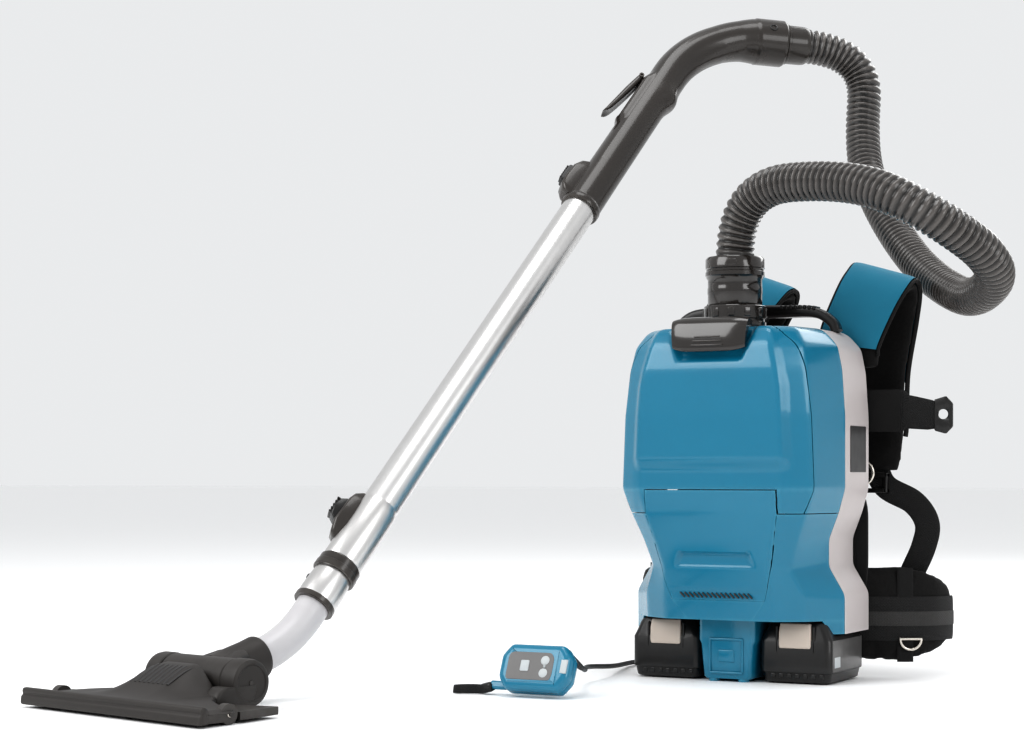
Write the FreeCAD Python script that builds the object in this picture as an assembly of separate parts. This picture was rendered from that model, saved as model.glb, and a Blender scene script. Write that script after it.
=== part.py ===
import FreeCAD, Part
import math
import os

os.makedirs("parts", exist_ok=True)
V = FreeCAD.Vector

# ---- overall sizes of the pack body (mm, +Z up, front faces -Y) ----
body_half = 115.0        # half width across the side bands
rear_y = 78.0            # rear face of the white frame
body_top = 360.0
body_floor = 64.0        # underside of the housing, above the batteries
skirt_z = 50.0           # lowest edge of the side skirts
wall = 3.0
seam_gap = 0.4           # gap round lids that open
slide_gap = 0.4          # gap round parts that slide
pipe_fit = 0.09          # radial fit of tubes pushed into one another
run_fit = 0.05           # radial running fit of small pins and swivels

# plan sections of the body: height, front face y, front half width, corner half width, side half width
body_sections = [
    (50.0, -46.0, 60.0, 87.0, 115.0),
    (90.0, -54.0, 58.0, 86.0, 115.0),
    (118.0, -62.0, 55.0, 75.0, 98.0),
    (146.0, -68.0, 62.0, 84.0, 98.0),
    (172.0, -73.0, 72.0, 95.0, 108.0),
    (197.0, -76.0, 78.0, 104.0, 115.0),
    (271.0, -76.0, 76.0, 101.0, 115.0),
    (317.0, -74.0, 72.0, 96.0, 112.0),
    (342.0, -70.0, 66.0, 91.0, 107.0),
    (360.0, -60.0, 58.0, 80.0, 90.0),
]
corner_depth = 18.0
band_y = 5.0             # seam between teal housing and white frame
cover_y = -56.0          # seam between opening cover and housing
cover_low = 172.0        # lower edge of the cover's side lobes
panel_top = 195.8
panel_half = 71.0
panel_low = 84.0
panel_low_half = 52.0
cover_hinge = (-68.5, 174.5)
hinge_relief = 6.8
cover_pin_r = 1.5

# latch
latch_half = 39.0
latch_hinge = (-57.0, 365.5)
latch_pin_r = 1.2

# inlet
inlet_y = -6.0
socket_r = 32.0
socket_top = 384.6
cuff_low = 385.2
cuff_mid_r = 28.0
cuff_ring_r = 30.5
cuff_ring_z = 415.0
cuff_top = 435.0
spigot_r = 24.0
duct_r = 17.0

# batteries
battery_w = 77.0
battery_l = 100.0
battery_z0 = 1.6
battery_top = 62.0
battery_front = -22.0
battery_x = 71.0
button_w = 34.0
button_h = 26.0
button_t = 4.5
button_travel = 3.0

# centre leg and back plate
leg_top_half = 31.0
leg_low_half = 26.0
leg_front = -30.0
leg_back = 70.0
foot_h = 3.0
plate_half = 98.0
plate_t = 8.0
plate_z0 = 6.0
plate_top = 356.0

# inside
shelf_z = 202.0
motor_r = 50.0
motor_z0 = 92.0
motor_z1 = 158.0
motor_y = 14.0
fan_r = 40.0
shaft_r = 4.0

# wand: pivot of the floor head, tube line and handle bend
wand_heading = 14.0      # degrees from +Y towards +X
wand_rise = 46.5         # slope of the tube
handle_roll = 45.0       # roll of the handle bend about the tube
tube_top = (-201.2, 39.0, 500.6)
tube_r = 19.0
tube_wall = 1.2
tube_len = 447.0
tube_in_handle = 35.0
inner_r = 16.6
inner_low = 528.0        # distance of the inner tube's lower collar below the handle
inner_overlap = 200.0
ring_above = 9.0         # how far the end ring reaches up from the inner tube's lower end
handle_r = 20.5
handle_straight = 233.0
handle_bend_r = 131.5
handle_bend = 60.0
collar_r = 27.0
collar_len = 34.0
ferrule_r = 22.5
hose_d = 40.0
key_travel = 2.0         # how far the tube lock button is pressed
flap_open = 12.0         # how far the suction flap stands open, degrees
flap_z = 206.5           # height of the suction flap's pin up the handle

# floor head, in its own frame (x across, y back, pivot above its origin)
head_pivot = (-328.2, -470.6)
pivot_h = 26.0
head_half = 127.0
head_front = -112.0
head_rear = -12.0
barrel_r = 21.0
barrel_half = 44.0
cap_r = 21.5
cap_len = 20.0
neck_slope = 15.0
neck_r = 19.5
neck_start = 26.0
neck_end = 64.0
pipe_r = 16.4
pipe_reach = 100.0       # pivot to the corner of the white pipe
pipe_bend_cut = 38.0
roller_r = 9.0
roller_w = 8.0

# hose and cable paths
hose_points = [
    (-44.5, 327.8, 716.8), (15.2, 374.6, 712.3), (14.0, 352.0, 592.0), (50.0, 302.0, 524.0),
    (106.0, 246.0, 456.0), (162.0, 178.0, 414.0), (222.0, 104.0, 388.0), (274.0, 20.0, 416.0),
    (216.0, -66.0, 468.0), (134.0, -44.0, 504.0), (0.0, -6.0, 507.0), (0.0, -6.0, 435.0),
]
cable_d = 5.0
cable_points = [
    (-74.0, -234.4, 35.1), (-74.0, -206.0, 22.4), (-98.0, -158.0, 20.0), (-119.0, -108.0, 17.0),
    (-122.0, -48.0, 12.0), (-148.0, 30.0, 6.0), (-164.0, 98.0, 3.4), (-148.0, 146.0, 4.0), (-110.0, 152.0, 7.0), (-81.1, 150.0, 8.0),
]
tail_points = [(-52.0, 120.6, 8.0), (-50.0, 110.0, 8.4), (-53.0, 99.0, 9.2), (-51.0, 89.3, 9.6)]
coil_d = 58.0
coil_h = 11.0
coil_xy = (-52.0, 150.0)

# harness
strap_w = 74.0
strap_t = 13.0
strap_lean = 18.0        # sideways lean of the right strap; the left one leans 1.7 times as far

# remote
remote_l = 74.0
remote_h = 46.0
remote_t = 22.0
remote_split = 12.0
remote_lean = 24.0
remote_at = (-102.0, -270.0)


def save(shape, name):
    shape.exportStep("parts/" + name + ".step")
    print(name, round(shape.Volume / 1000.0, 2), "cm3", "solids", len(shape.Solids))


def box(x0, x1, y0, y1, z0, z1):
    return Part.makeBox(x1 - x0, y1 - y0, z1 - z0, V(x0, y0, z0))


def rod(r, p, axis, length):
    return Part.makeCylinder(r, length, V(*p), V(*axis))


def tube(r_out, r_in, p, axis, length):
    return rod(r_out, p, axis, length).cut(rod(r_in, p, axis, length))


def prismYZ(points, x0, x1):
    wire = Part.makePolygon([V(x0, y, z) for y, z in points] + [V(x0, points[0][0], points[0][1])])
    return Part.Face(wire).extrude(V(x1 - x0, 0, 0))


def prismXZ(points, y0, y1):
    wire = Part.makePolygon([V(x, y0, z) for x, z in points] + [V(points[0][0], y0, points[0][1])])
    return Part.Face(wire).extrude(V(0, y1 - y0, 0))


def prismXY(points, z0, z1):
    wire = Part.makePolygon([V(x, y, z0) for x, y in points] + [V(points[0][0], points[0][1], z0)])
    return Part.Face(wire).extrude(V(0, 0, z1 - z0))


def rounded(shape, r, keep):
    # fillet the straight edges whose direction passes the test; leave the solid as it is if it fails
    edges = [e for e in shape.Edges if len(e.Vertexes) == 2 and keep(e)]
    try:
        out = shape.makeFillet(r, edges)
        return out if out.isValid() else shape
    except Exception:
        return shape


def along(axis):
    def test(e):
        d = (e.Vertexes[1].Point - e.Vertexes[0].Point)
        return d.Length > 1.0 and abs(d.normalize().dot(V(*axis))) > 0.999
    return test


def bodySolid(inset, rear):
    wires = []
    for z, yf, f, c, b in body_sections:
        y0 = yf + inset
        pts = [(f - inset * 0.6, y0), (c - inset, y0 + corner_depth), (b - inset, band_y), (b - inset, rear)]
        ring = pts + [(-x, y) for x, y in reversed(pts)]
        level = z
        if inset > 0 and z == body_top:
            level = z - inset
        wires.append(Part.makePolygon([V(x, y, level) for x, y in ring] + [V(ring[0][0], ring[0][1], level)]))
    return Part.makeLoft(wires, True, True)


def roundPath(points, factor=0.45, name=""):
    # straight runs joined by tangent arcs, radius from the shorter run
    pts = [V(*p) for p in points]
    edges = []
    start = pts[0]
    radii = []
    for i in range(1, len(pts) - 1):
        a = pts[i - 1] - pts[i]
        b = pts[i + 1] - pts[i]
        cut = factor * min(a.Length, b.Length)
        ua, ub = V(a).normalize(), V(b).normalize()
        turn = math.pi - ua.getAngle(ub)
        radii.append(round(cut / math.tan(turn / 2.0), 1))
        p1 = pts[i] + ua * cut
        p2 = pts[i] + ub * cut
        mid = V(ua + ub).normalize()
        radius = cut / math.tan(turn / 2.0)
        centre = pts[i] + mid * math.hypot(cut, radius)
        top = centre - mid * radius
        edges.append(Part.LineSegment(start, p1).toShape())
        edges.append(Part.Arc(p1, top, p2).toShape())
        start = p2
    edges.append(Part.LineSegment(start, pts[-1]).toShape())
    wire = Part.Wire(edges)
    print(name, "radii", radii, "length", round(wire.Length, 1))
    return wire


def sweepTube(points, r, name):
    wire = roundPath(points, 0.45, name)
    first = V(*points[1]) - V(*points[0])
    section = Part.Wire([Part.Circle(V(*points[0]), first, r).toShape()])
    solid = wire.makePipeShell([section], True, False)
    print(name, "volume ratio", round(solid.Volume / (math.pi * r * r * wire.Length), 4))
    return solid


# frames of the wand and of the floor head
heading = math.radians(wand_heading)
rise = math.radians(wand_rise)
roll = math.radians(handle_roll)
across = V(math.cos(heading), -math.sin(heading), 0)
back = V(math.sin(heading), math.cos(heading), 0)
up = V(0, 0, 1)
tube_dir = back * math.cos(rise) + up * math.sin(rise)
lower_dir = back * math.sin(rise) - up * math.cos(rise)
bend_dir = across * math.cos(roll) + lower_dir * math.sin(roll)
bend_dir = bend_dir.normalize()


def frameOf(origin, x_dir, z_dir):
    y_dir = z_dir.cross(x_dir)
    m = FreeCAD.Matrix(x_dir.x, y_dir.x, z_dir.x, origin.x,
                       x_dir.y, y_dir.y, z_dir.y, origin.y,
                       x_dir.z, y_dir.z, z_dir.z, origin.z, 0, 0, 0, 1)
    return FreeCAD.Placement(m)


wand_frame = frameOf(V(*tube_top), bend_dir, tube_dir)
head_frame = frameOf(V(head_pivot[0], head_pivot[1], 0), across, up)


def placed(shape, frame):
    s = shape.copy()
    s.Placement = frame.multiply(s.Placement)
    return s


# ---------------------------------------------------------------- pack body
def makeBody():
    outer = bodySolid(0.0, rear_y)
    inner = bodySolid(wall, rear_y + 5)
    shell = outer.cut(inner)
    low_front = box(-200, 200, -120, -8, 0, body_floor)
    low_mid = box(-112, 112, -120, 200, 0, body_floor)
    shell = shell.cut(low_front).cut(low_mid)
    cover_zone = box(-200, 200, -120, cover_y - seam_gap, cover_low + seam_gap, 400)
    cover_zone = cover_zone.cut(box(-panel_half - seam_gap, panel_half + seam_gap, -120, 0, 0, panel_top + 1.2))
    cover = shell.common(cover_zone)
    panel_pts = [(-panel_half, panel_top), (-panel_half, cover_low - 1), (-panel_low_half, panel_low),
                 (panel_low_half, panel_low), (panel_half, cover_low - 1), (panel_half, panel_top)]
    panel_zone = prismXZ(panel_pts, -120, -40)
    panel = shell.common(panel_zone)
    white = shell.common(box(-200, 200, band_y, 200, 0, 400))
    teal = shell.common(box(-200, 200, -120, band_y, 0, 400))
    cover_hole = box(-200, 200, -120, cover_y, cover_low, 400)
    teal = teal.cut(cover_hole).cut(panel_zone)
    for side in (-1, 1):
        relief = rod(hinge_relief, (side * 71.0 if side > 0 else -82.0, cover_hinge[0], cover_hinge[1]), (1, 0, 0), 11)
        teal = teal.cut(relief)
    # floor of the motor bay, shelf under the dust bag and a web that carries both
    floor_plate = bodySolid(wall, rear_y).common(box(-200, 200, -120, rear_y, body_floor, body_floor + wall))
    shelf = bodySolid(wall, rear_y).common(box(-200, 200, -52, rear_y, shelf_z, shelf_z + wall))
    shelf = shelf.cut(rod(34, (0, motor_y, shelf_z - 1), (0, 0, 1), wall + 2))
    floor_plate = floor_plate.cut(panel_zone.common(box(-200, 200, -120, cover_y, 0, 400)))
    inside = floor_plate.fuse(shelf)
    inside_teal = inside.common(box(-200, 200, -120, band_y, 0, 400))
    inside_white = inside.common(box(-200, 200, band_y, 200, 0, 400))
    teal = teal.fuse(inside_teal).removeSplitter()
    white = white.fuse(inside_white).removeSplitter()
    # holes: inlet through the top, terminal blocks through the floor
    inlet_hole = rod(socket_r - 4.0, (0, inlet_y, body_top - 10), (0, 0, 1), 20)
    teal = teal.cut(inlet_hole)
    white = white.cut(inlet_hole)
    for side in (-1, 1):
        hole = box(side * battery_x - 21, side * battery_x + 21, 20, 66, 0, body_floor + wall + 1)
        teal = teal.cut(hole)
        white = white.cut(hole)
    # grip pocket and vent slots of the lower panel
    grip = box(-42, 42, -80, -67.5, 121, 133)
    panel = panel.cut(grip)
    panel = panel.fuse(box(-44, 44, -66.3, -63.6, 119, 135).common(bodySolid(0.5, rear_y))).removeSplitter()
    for i in range(12):
        x = -36 + i * 6.4
        slot = prismXZ([(x, 86.5), (x + 2.4, 86.5), (x + 5.4, 92), (x + 3.0, 92)], -80, -40)
        panel = panel.cut(slot)
    return cover, panel, teal, white


cover, panel, teal, white = makeBody()
# hinge bosses of the cover with their pin holes, and the pins carried by the panel's sides
for side in (-1, 1):
    x0 = 72.0 if side > 0 else -80.0
    boss = rod(3.4, (x0, cover_hinge[0], cover_hinge[1]), (1, 0, 0), 8.0)
    cover = cover.fuse(boss)
pin_hole = rod(cover_pin_r + run_fit, (-90, cover_hinge[0], cover_hinge[1]), (1, 0, 0), 180)
cover = cover.cut(pin_hole.common(box(-77.5, 77.5, -200, 200, 0, 400)))
cover = cover.removeSplitter()
hinge_pin = rod(cover_pin_r, (-77.0, cover_hinge[0], cover_hinge[1]), (1, 0, 0), 154.0)
lugs = []
for x in (-66.0, 60.0):
    lug = box(x, x + 6, cover_hinge[0] - 3, cover_hinge[0] + 8, cover_hinge[1] - 4, cover_hinge[1] + 4)
    lugs.append(lug)
panel = panel.fuse(lugs[0]).fuse(lugs[1])
panel = panel.fuse(hinge_pin).removeSplitter()
save(panel, "lower_panel")
save(teal, "rear_housing")
save(white, "side_frame")

# latch over the top edge of the cover
latch_pts = [(-80.5, 337), (-76.4, 336), (-75.2, 342), (-66.5, 361.2), (-55, 361.2), (-55, 368.5), (-70, 369.5),
             (-78.5, 360)]
latch = prismYZ(latch_pts, -latch_half, latch_half)
latch = rounded(latch, 3.0, along((0, 0, 1)))
latch = latch.cut(rod(latch_pin_r + run_fit, (-60, latch_hinge[0], latch_hinge[1]), (1, 0, 0), 120))
latch_pin = rod(latch_pin_r, (-latch_half - 3, latch_hinge[0], latch_hinge[1]), (1, 0, 0), 2 * latch_half + 6)
latch_brackets = None
for side in (-1, 1):
    x0 = latch_half + 0.4 if side > 0 else -latch_half - 2.8
    ear = box(x0, x0 + 2.4, -60.0, -56.6, 358.0, 367.5)
    latch_brackets = ear if latch_brackets is None else latch_brackets.fuse(ear)
cover = cover.fuse(latch_brackets).fuse(latch_pin).removeSplitter()
save(cover, "front_cover")
save(latch, "cover_latch")

# inlet socket on the housing top and swivelling hose cuff
socket = rod(socket_r, (0, inlet_y, body_top), (0, 0, 1), socket_top - body_top)
socket = socket.fuse(rod(27.6, (0, inlet_y, body_top - 8), (0, 0, 1), 8))
socket = socket.cut(rod(spigot_r + run_fit, (0, inlet_y, body_top - 1), (0, 0, 1), 40))
socket = socket.cut(rod(duct_r, (0, inlet_y, body_top - 12), (0, 0, 1), 40))
for i in range(12):
    a = math.radians(i * 30 + 15)
    p = (socket_r * math.cos(a), inlet_y + socket_r * math.sin(a), body_top + 4)
    socket = socket.cut(rod(1.5, p, (0, 0, 1), 12))
save(socket, "inlet_socket")
cuff = rod(cuff_mid_r, (0, inlet_y, cuff_low), (0, 0, 1), cuff_ring_z - cuff_low)
cuff = cuff.fuse(rod(cuff_ring_r, (0, inlet_y, cuff_ring_z), (0, 0, 1), cuff_top - cuff_ring_z))
cuff = cuff.fuse(rod(spigot_r, (0, inlet_y, body_top), (0, 0, 1), cuff_low - body_top))
cuff = cuff.cut(rod(duct_r, (0, inlet_y, body_top - 1), (0, 0, 1), 100))
save(cuff, "hose_cuff")
hose = sweepTube(hose_points, hose_d / 2.0, "hose")
save(hose, "suction_hose")

# dust bag, holder and filters
bag = Part.makeBox(140, 96, 128, V(-70, -47, shelf_z + wall + 0.3))
bag = rounded(bag, 18.0, lambda e: True)
save(bag, "dust_bag")
hepa = rod(44, (0, motor_y, motor_z1 + 0.3), (0, 0, 1), 43.4)
hepa = hepa.cut(rod(16, (0, motor_y, motor_z1), (0, 0, 1), 34))
save(hepa, "hepa_filter")

# motor with fan and shaft
motor = rod(motor_r, (0, motor_y, motor_z0), (0, 0, 1), motor_z1 - motor_z0)
motor = motor.cut(rod(motor_r - 4, (0, motor_y, motor_z0 + 26), (0, 0, 1), 36))
motor = motor.cut(rod(shaft_r + run_fit, (0, motor_y, motor_z0 + 6), (0, 0, 1), 40))
motor = motor.cut(rod(18, (0, motor_y, motor_z1 - 6), (0, 0, 1), 10))
fan = rod(fan_r, (0, motor_y, motor_z0 + 32), (0, 0, 1), 3.0)
for i in range(9):
    blade = box(10, fan_r - 1, -1, 1, motor_z0 + 34, motor_z0 + 52)
    blade.rotate(V(0, 0, 0), V(0, 0, 1), i * 40)
    blade.translate(V(0, motor_y, 0))
    fan = fan.fuse(blade)
fan = fan.fuse(rod(11, (0, motor_y, motor_z0 + 32), (0, 0, 1), 20))
fan = fan.fuse(rod(shaft_r, (0, motor_y, motor_z0 + 8), (0, 0, 1), 44)).removeSplitter()
mount = tube(46, 30, (0, motor_y, body_floor + wall), (0, 0, 1), motor_z0 - body_floor - wall)
save(motor.fuse(mount).removeSplitter(), "motor_housing")
save(fan, "motor_fan")

# batteries, buttons and terminal blocks
for side, name in ((-1, "left"), (1, "right")):
    cx = side * battery_x
    x0, x1 = cx - battery_w / 2.0, cx + battery_w / 2.0
    y0, y1 = battery_front, battery_front + battery_l
    low = box(x0 + 1.5, x1 - 1.5, y0 + 1, y1 - 2, battery_z0, battery_z0 + 12)
    mid = box(x0, x1, y0, y1 - 1, battery_z0 + 8, battery_z0 + 42)
    top = prismXZ([(x0, battery_z0 + 42), (x0 + 7, battery_top), (x1 - 7, battery_top), (x1, battery_z0 + 42)],
                  y0 + 3, y1 - 1)
    case = mid.fuse(low).fuse(top).removeSplitter()
    recess = box(cx - button_w / 2 - slide_gap, cx + button_w / 2 + slide_gap, y0 - 1, y0 + button_t + slide_gap,
                 battery_top - button_h - button_travel - slide_gap, battery_top + 1)
    case = case.cut(recess)
    for i in range(9):
        x = x0 + 9 + i * (battery_w - 18) / 8.0
        case = case.cut(box(x - 1.2, x + 1.2, y0 - 1, y0 + 0.9, battery_z0 + 9, battery_z0 + 13))
    slot = box(cx - 19, cx + 19, 20, 90, battery_top - 5, battery_top + 1)
    case = case.cut(slot)
    save(case, "battery_" + name)
    button = box(cx - button_w / 2, cx + button_w / 2, y0 - 1.2, y0 + button_t,
                 battery_top - button_h, battery_top - 0.4)
    button = rounded(button, 1.0, along((0, 0, 1)))
    save(button, "battery_button_" + name)
    block = box(cx - 20.6, cx + 20.6, 20.4, 65.6, battery_top + 0.5, body_floor + wall + 6)
    block = block.fuse(box(cx - 23, cx + 23, 18, 68, body_floor + wall, body_floor + wall + 3))
    for k in (-12, -4, 4, 12):
        block = block.fuse(box(cx + k - 0.6, cx + k + 0.6, 30, 60, battery_top - 3.5, battery_top + 1))
    save(block, "terminal_block_" + name)

# centre leg with feet, back plate with feet
leg = prismXZ([(-leg_low_half, foot_h), (leg_low_half, foot_h), (leg_top_half, 40), (leg_top_half, body_floor),
               (-leg_top_half, body_floor), (-leg_top_half, 40)], leg_front, leg_back)
leg = leg.cut(box(-17, 17, leg_front - 1, leg_front + 1.2, 8, 44))
leg = leg.cut(box(-22, 22, leg_front + 4, leg_back - 4, foot_h + 4, body_floor - 6))
feet = None
for x, y in ((-16, leg_front + 8), (16, leg_front + 8), (-16, leg_back - 10), (16, leg_back - 10), (0, 0)):
    f = rod(6.0, (x, y, 0), (0, 0, 1), foot_h)
    feet = f if feet is None else feet.fuse(f)
save(leg.fuse(feet).removeSplitter(), "centre_leg")
plate = box(-plate_half, plate_half, rear_y, rear_y + plate_t, plate_z0, plate_top)
plate = rounded(plate, 16.0, along((0, 1, 0)))
for i in range(5):
    z = 120 + i * 42
    plate = plate.cut(rounded(box(-50, 50, rear_y - 1, rear_y + plate_t + 1, z, z + 16), 6.0, along((0, 1, 0))))
feet = None
for x in (-78, 78):
    f = box(x - 12, x + 12, rear_y + 0.5, rear_y + plate_t - 0.5, 0, plate_z0)
    feet = f if feet is None else feet.fuse(f)
plate = plate.fuse(feet)

# carry handle over the back of the top, with its two end lugs
arch = [(-92, 360), (-86, 372), (-66, 386), (66, 386), (86, 372), (92, 360), (82, 360), (78, 368), (62, 377),
        (-62, 377), (-78, 368), (-82, 360)]
carry = prismXZ(arch, 44, 62)
carry = rounded(carry, 2.5, along((1, 0, 0)))
for i in range(9):
    x = 30 + i * 4.2
    carry = carry.cut(box(x, x + 1.6, 40, 66, 384.8, 388))
carry = carry.cut(bodySolid(0.0, rear_y))
save(carry, "carry_handle")
save(box(body_half, body_half + 0.6, 20, 68, 214, 261), "rating_plate")


# ---------------------------------------------------------------- harness
def band(points, width, thick, x0):
    # a strap: side profile in y and z, given thickness, extruded across x
    pts = [V(0, y, z) for y, z in points]
    left, right = [], []
    for i, p in enumerate(pts):
        a = pts[max(i - 1, 0)]
        b = pts[min(i + 1, len(pts) - 1)]
        d = V(b - a).normalize()
        n = V(0, -d.z, d.y)
        left.append(p + n * thick / 2.0)
        right.append(p - n * thick / 2.0)
    ring = left + list(reversed(right))
    wire = Part.makePolygon([V(x0, q.y, q.z) for q in ring] + [V(x0, ring[0].y, ring[0].z)])
    return Part.Face(wire).extrude(V(width, 0, 0))


def shoulderStrap(foot, over, rear, x_mid, lean):
    # upright at the plate, leaning sideways over the shoulder, hanging straight behind it
    x0 = x_mid - strap_w / 2.0
    upper = band(over, strap_w, strap_t, x0)
    upper.rotate(V(x_mid, 90, 350), V(0, 1, 0), lean)
    return upper.fuse(band(foot, strap_w, strap_t, x0)).fuse(band(rear, strap_w, strap_t, x0))


right_strap = shoulderStrap([(92.5, 322), (93, 360)],
                            [(93, 351), (99, 392), (110, 414), (124, 419), (138, 408), (146, 380), (146, 330)],
                            [(146, 352), (146, 320), (138, 262), (128, 214)], 97.0, strap_lean)
left_strap = shoulderStrap([(92.5, 333), (93, 360)],
                           [(93, 351), (98, 388), (108, 408), (122, 414), (135, 404), (142, 380), (142, 330)],
                           [(142, 352), (142, 320), (134, 262), (126, 220)], -56.0, 1.7 * strap_lean)
cushion = rounded(box(-50, 50, rear_y + plate_t + 0.3, rear_y + plate_t + 16, 150, 330), 6.0, lambda e: True)
save(cushion, "back_pad")


def belt(side):
    # wing of the hip belt: plan profile bent round behind the plate
    line = [(20, 94.6), (90, 94.6), (130, 106), (160, 124), (176, 150), (182, 184)]
    outer, inner = [], []
    for i, (x, y) in enumerate(line):
        a = line[max(i - 1, 0)]
        b = line[min(i + 1, len(line) - 1)]
        d = V(b[0] - a[0], b[1] - a[1], 0).normalize()
        n = V(d.y, -d.x, 0) * 8.5
        outer.append((x + n.x, y + n.y))
        inner.append((x - n.x, y - n.y))
    ring = [(side * x, y) for x, y in outer + list(reversed(inner))]
    return prismXY(ring, 14, 118)


save(belt(-1), "hip_belt_left")
chest = prismXY([(88, 86), (100, 86.2), (152, 92), (186, 100), (186, 103.5), (151, 96), (100, 89.5), (88, 88.6)],
                256, 300)
save(chest, "chest_strap")
buckle = prismXZ([(186.0, 262), (199, 258), (205, 266), (205, 290), (199, 298), (186.0, 294)], 98.5, 104.5)
buckle = buckle.cut(rod(4.5, (197, 90, 281), (0, 1, 0), 30))
save(buckle, "chest_buckle")
# webbing from the padded straps down to the belt, one each side, and the lower strap tails
for side, name in ((-1, "left"), (1, "right")):
    pad = right_strap if side > 0 else left_strap
    web = band([(129, 222), (134, 186), (142, 156), (140, 118.4)], 26.0, 3.0, 0.0)
    web.translate(V((84.0 if side > 0 else -69.0), 0, 0))
    joined = pad.fuse(web)
    print("strap", name, "solids", len(joined.Solids))
    save(joined, "shoulder_strap_" + name)

# rings: one on the right frame side, one hanging from the belt wing
ring_wire_r = 1.6
side_ring_at = V(103.0, 93.0, 213.0)


def dRing(bow, r):
    # straight bar along z with a half round bow towards +x
    bar = rod(r, (0, 0, -bow), (0, 0, 1), 2 * bow)
    half = Part.makeTorus(bow, r, V(0, 0, 0), V(0, 1, 0)).common(box(0, 60, -10, 10, -60, 60))
    out = bar.fuse(half)
    for z in (-bow, bow):
        out = out.fuse(Part.makeSphere(r, V(0, 0, z)))
    return out.removeSplitter()


ring_up = dRing(12.0, ring_wire_r)
ring_up.translate(side_ring_at)
save(ring_up, "d_ring_side")
keeper = box(96.0, 107.0, rear_y + plate_t, rear_y + plate_t + 10.0, 206.0, 220.0)
keeper = keeper.fuse(box(90.0, 98.0, rear_y + plate_t - 2.0, rear_y + plate_t + 6.0, 206.0, 220.0))
keeper = keeper.cut(rod(ring_wire_r + run_fit, (side_ring_at.x, side_ring_at.y, 200.0), (0, 0, 1), 30))
save(plate.fuse(keeper).removeSplitter(), "back_plate")
belt_place = FreeCAD.Placement(V(152.1, 104.0, 0), FreeCAD.Rotation(V(0, 0, 1), 30.96))
ring_low = dRing(11.0, 1.5)
ring_low.rotate(V(0, 0, 0), V(0, 1, 0), 90)
ring_low.translate(V(0, 0, 40.0))
save(placed(ring_low, belt_place), "d_ring_belt")
loop = box(-6.0, 6.0, -3.4, 6.0, 37.0, 60.0)
loop = loop.cut(rod(1.5 + run_fit, (-20, 0, 40.0), (1, 0, 0), 40))
loop = placed(loop, belt_place)
save(belt(1).fuse(loop).removeSplitter(), "hip_belt_right")

# ---------------------------------------------------------------- remote
remote_frame = FreeCAD.Placement(V(remote_at[0], remote_at[1], 9.3), FreeCAD.Rotation(V(1, 0, 0), -remote_lean))
body = box(-remote_l / 2, remote_l / 2, 0, remote_t, 0, remote_h)
for cx, cz in ((-1, -1), (-1, 1), (1, -1), (1, 1)):
    ex, ez = cx * remote_l / 2, remote_h / 2 + cz * remote_h / 2
    tri = prismXZ([(ex, ez), (ex - cx * 9, ez), (ex, ez - cz * 12)], -1, remote_t + 1)
    body = body.cut(tri)
front = body.common(box(-60, 60, 0, remote_split, -5, 80))
rear = body.common(box(-60, 60, remote_split, remote_t, -5, 80))
panel_recess = box(-28, 20, -1, 1.6, 8, remote_h - 8)
front = front.cut(panel_recess)
face = box(-28, 20, 0.4, 1.6, 8, remote_h - 8)
buttons = (("remote_button_power", 11.5, 29.0, 5.0), ("remote_button_mode", 11.5, 16.5, 5.0))
for name, bx, bz, r in buttons:
    hole = rod(r + 0.3, (bx, -1, bz), (0, 1, 0), 7.0)
    face = face.cut(hole)
    front = front.cut(hole)
    save(placed(rod(r, (bx, -0.8, bz), (0, 1, 0), 5.6), remote_frame), name)
front = front.cut(box(remote_l / 2 - 1.2, remote_l / 2 + 2, 5, 9, 18, 34))
lug = box(-remote_l / 2 - 14, -remote_l / 2 + 10, 9, 19, 2, 12)
lug = lug.cut(rod(2.6, (-remote_l / 2 - 9, 8, 7), (0, 1, 0), 12))
rear = rear.fuse(lug.common(box(-100, 0, remote_split, 30, 0, 60)))
front = front.fuse(face).removeSplitter()
save(placed(front, remote_frame), "remote_front")
save(placed(rear, remote_frame), "remote_rear")
strap_line = [(-142, 0), (-152, 6), (-166, 2), (-178, -6), (-180, -11), (-168, -7), (-154, -1), (-144, -6)]
strap_ring = [(x - 10.6, y + remote_at[1] + 24.0) for x, y in strap_line]
clip = prismXY(strap_ring, 1.0, 11.0)
save(clip, "remote_strap")

cable = sweepTube(cable_points, cable_d / 2.0, "cable")
save(cable, "remote_cable")
tail = sweepTube(tail_points, cable_d / 2.0, "tail")
save(tail, "cable_tail")
coil = rod(coil_d / 2.0, (coil_xy[0], coil_xy[1], 2.5), (0, 0, 1), coil_h)
save(coil, "cable_coil")
gland = rod(3.5, (-51.0, rear_y + plate_t, 9.6), (0, 1, 0), 2.9)
save(gland, "cable_gland")

# ---------------------------------------------------------------- wand (own frame: z up the tube, x to the bend)
rad = math.radians(handle_bend)
bend_end = V(handle_bend_r * (1 - math.cos(rad)), 0, handle_straight + handle_bend_r * math.sin(rad))
end_dir = V(math.sin(rad), 0, math.cos(rad))
half = rad / 2.0
bend_mid = V(handle_bend_r * (1 - math.cos(half)), 0, handle_straight + handle_bend_r * math.sin(half))


def handleSweep(r, z0, extra):
    straight = Part.LineSegment(V(0, 0, z0), V(0, 0, handle_straight)).toShape()
    arc = Part.Arc(V(0, 0, handle_straight), bend_mid, bend_end).toShape()
    last = Part.LineSegment(bend_end, bend_end + end_dir * extra).toShape()
    wire = Part.Wire([straight, arc, last])
    section = Part.Wire([Part.Circle(V(0, 0, z0), V(0, 0, 1), r).toShape()])
    return wire.makePipeShell([section], True, False)


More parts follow.
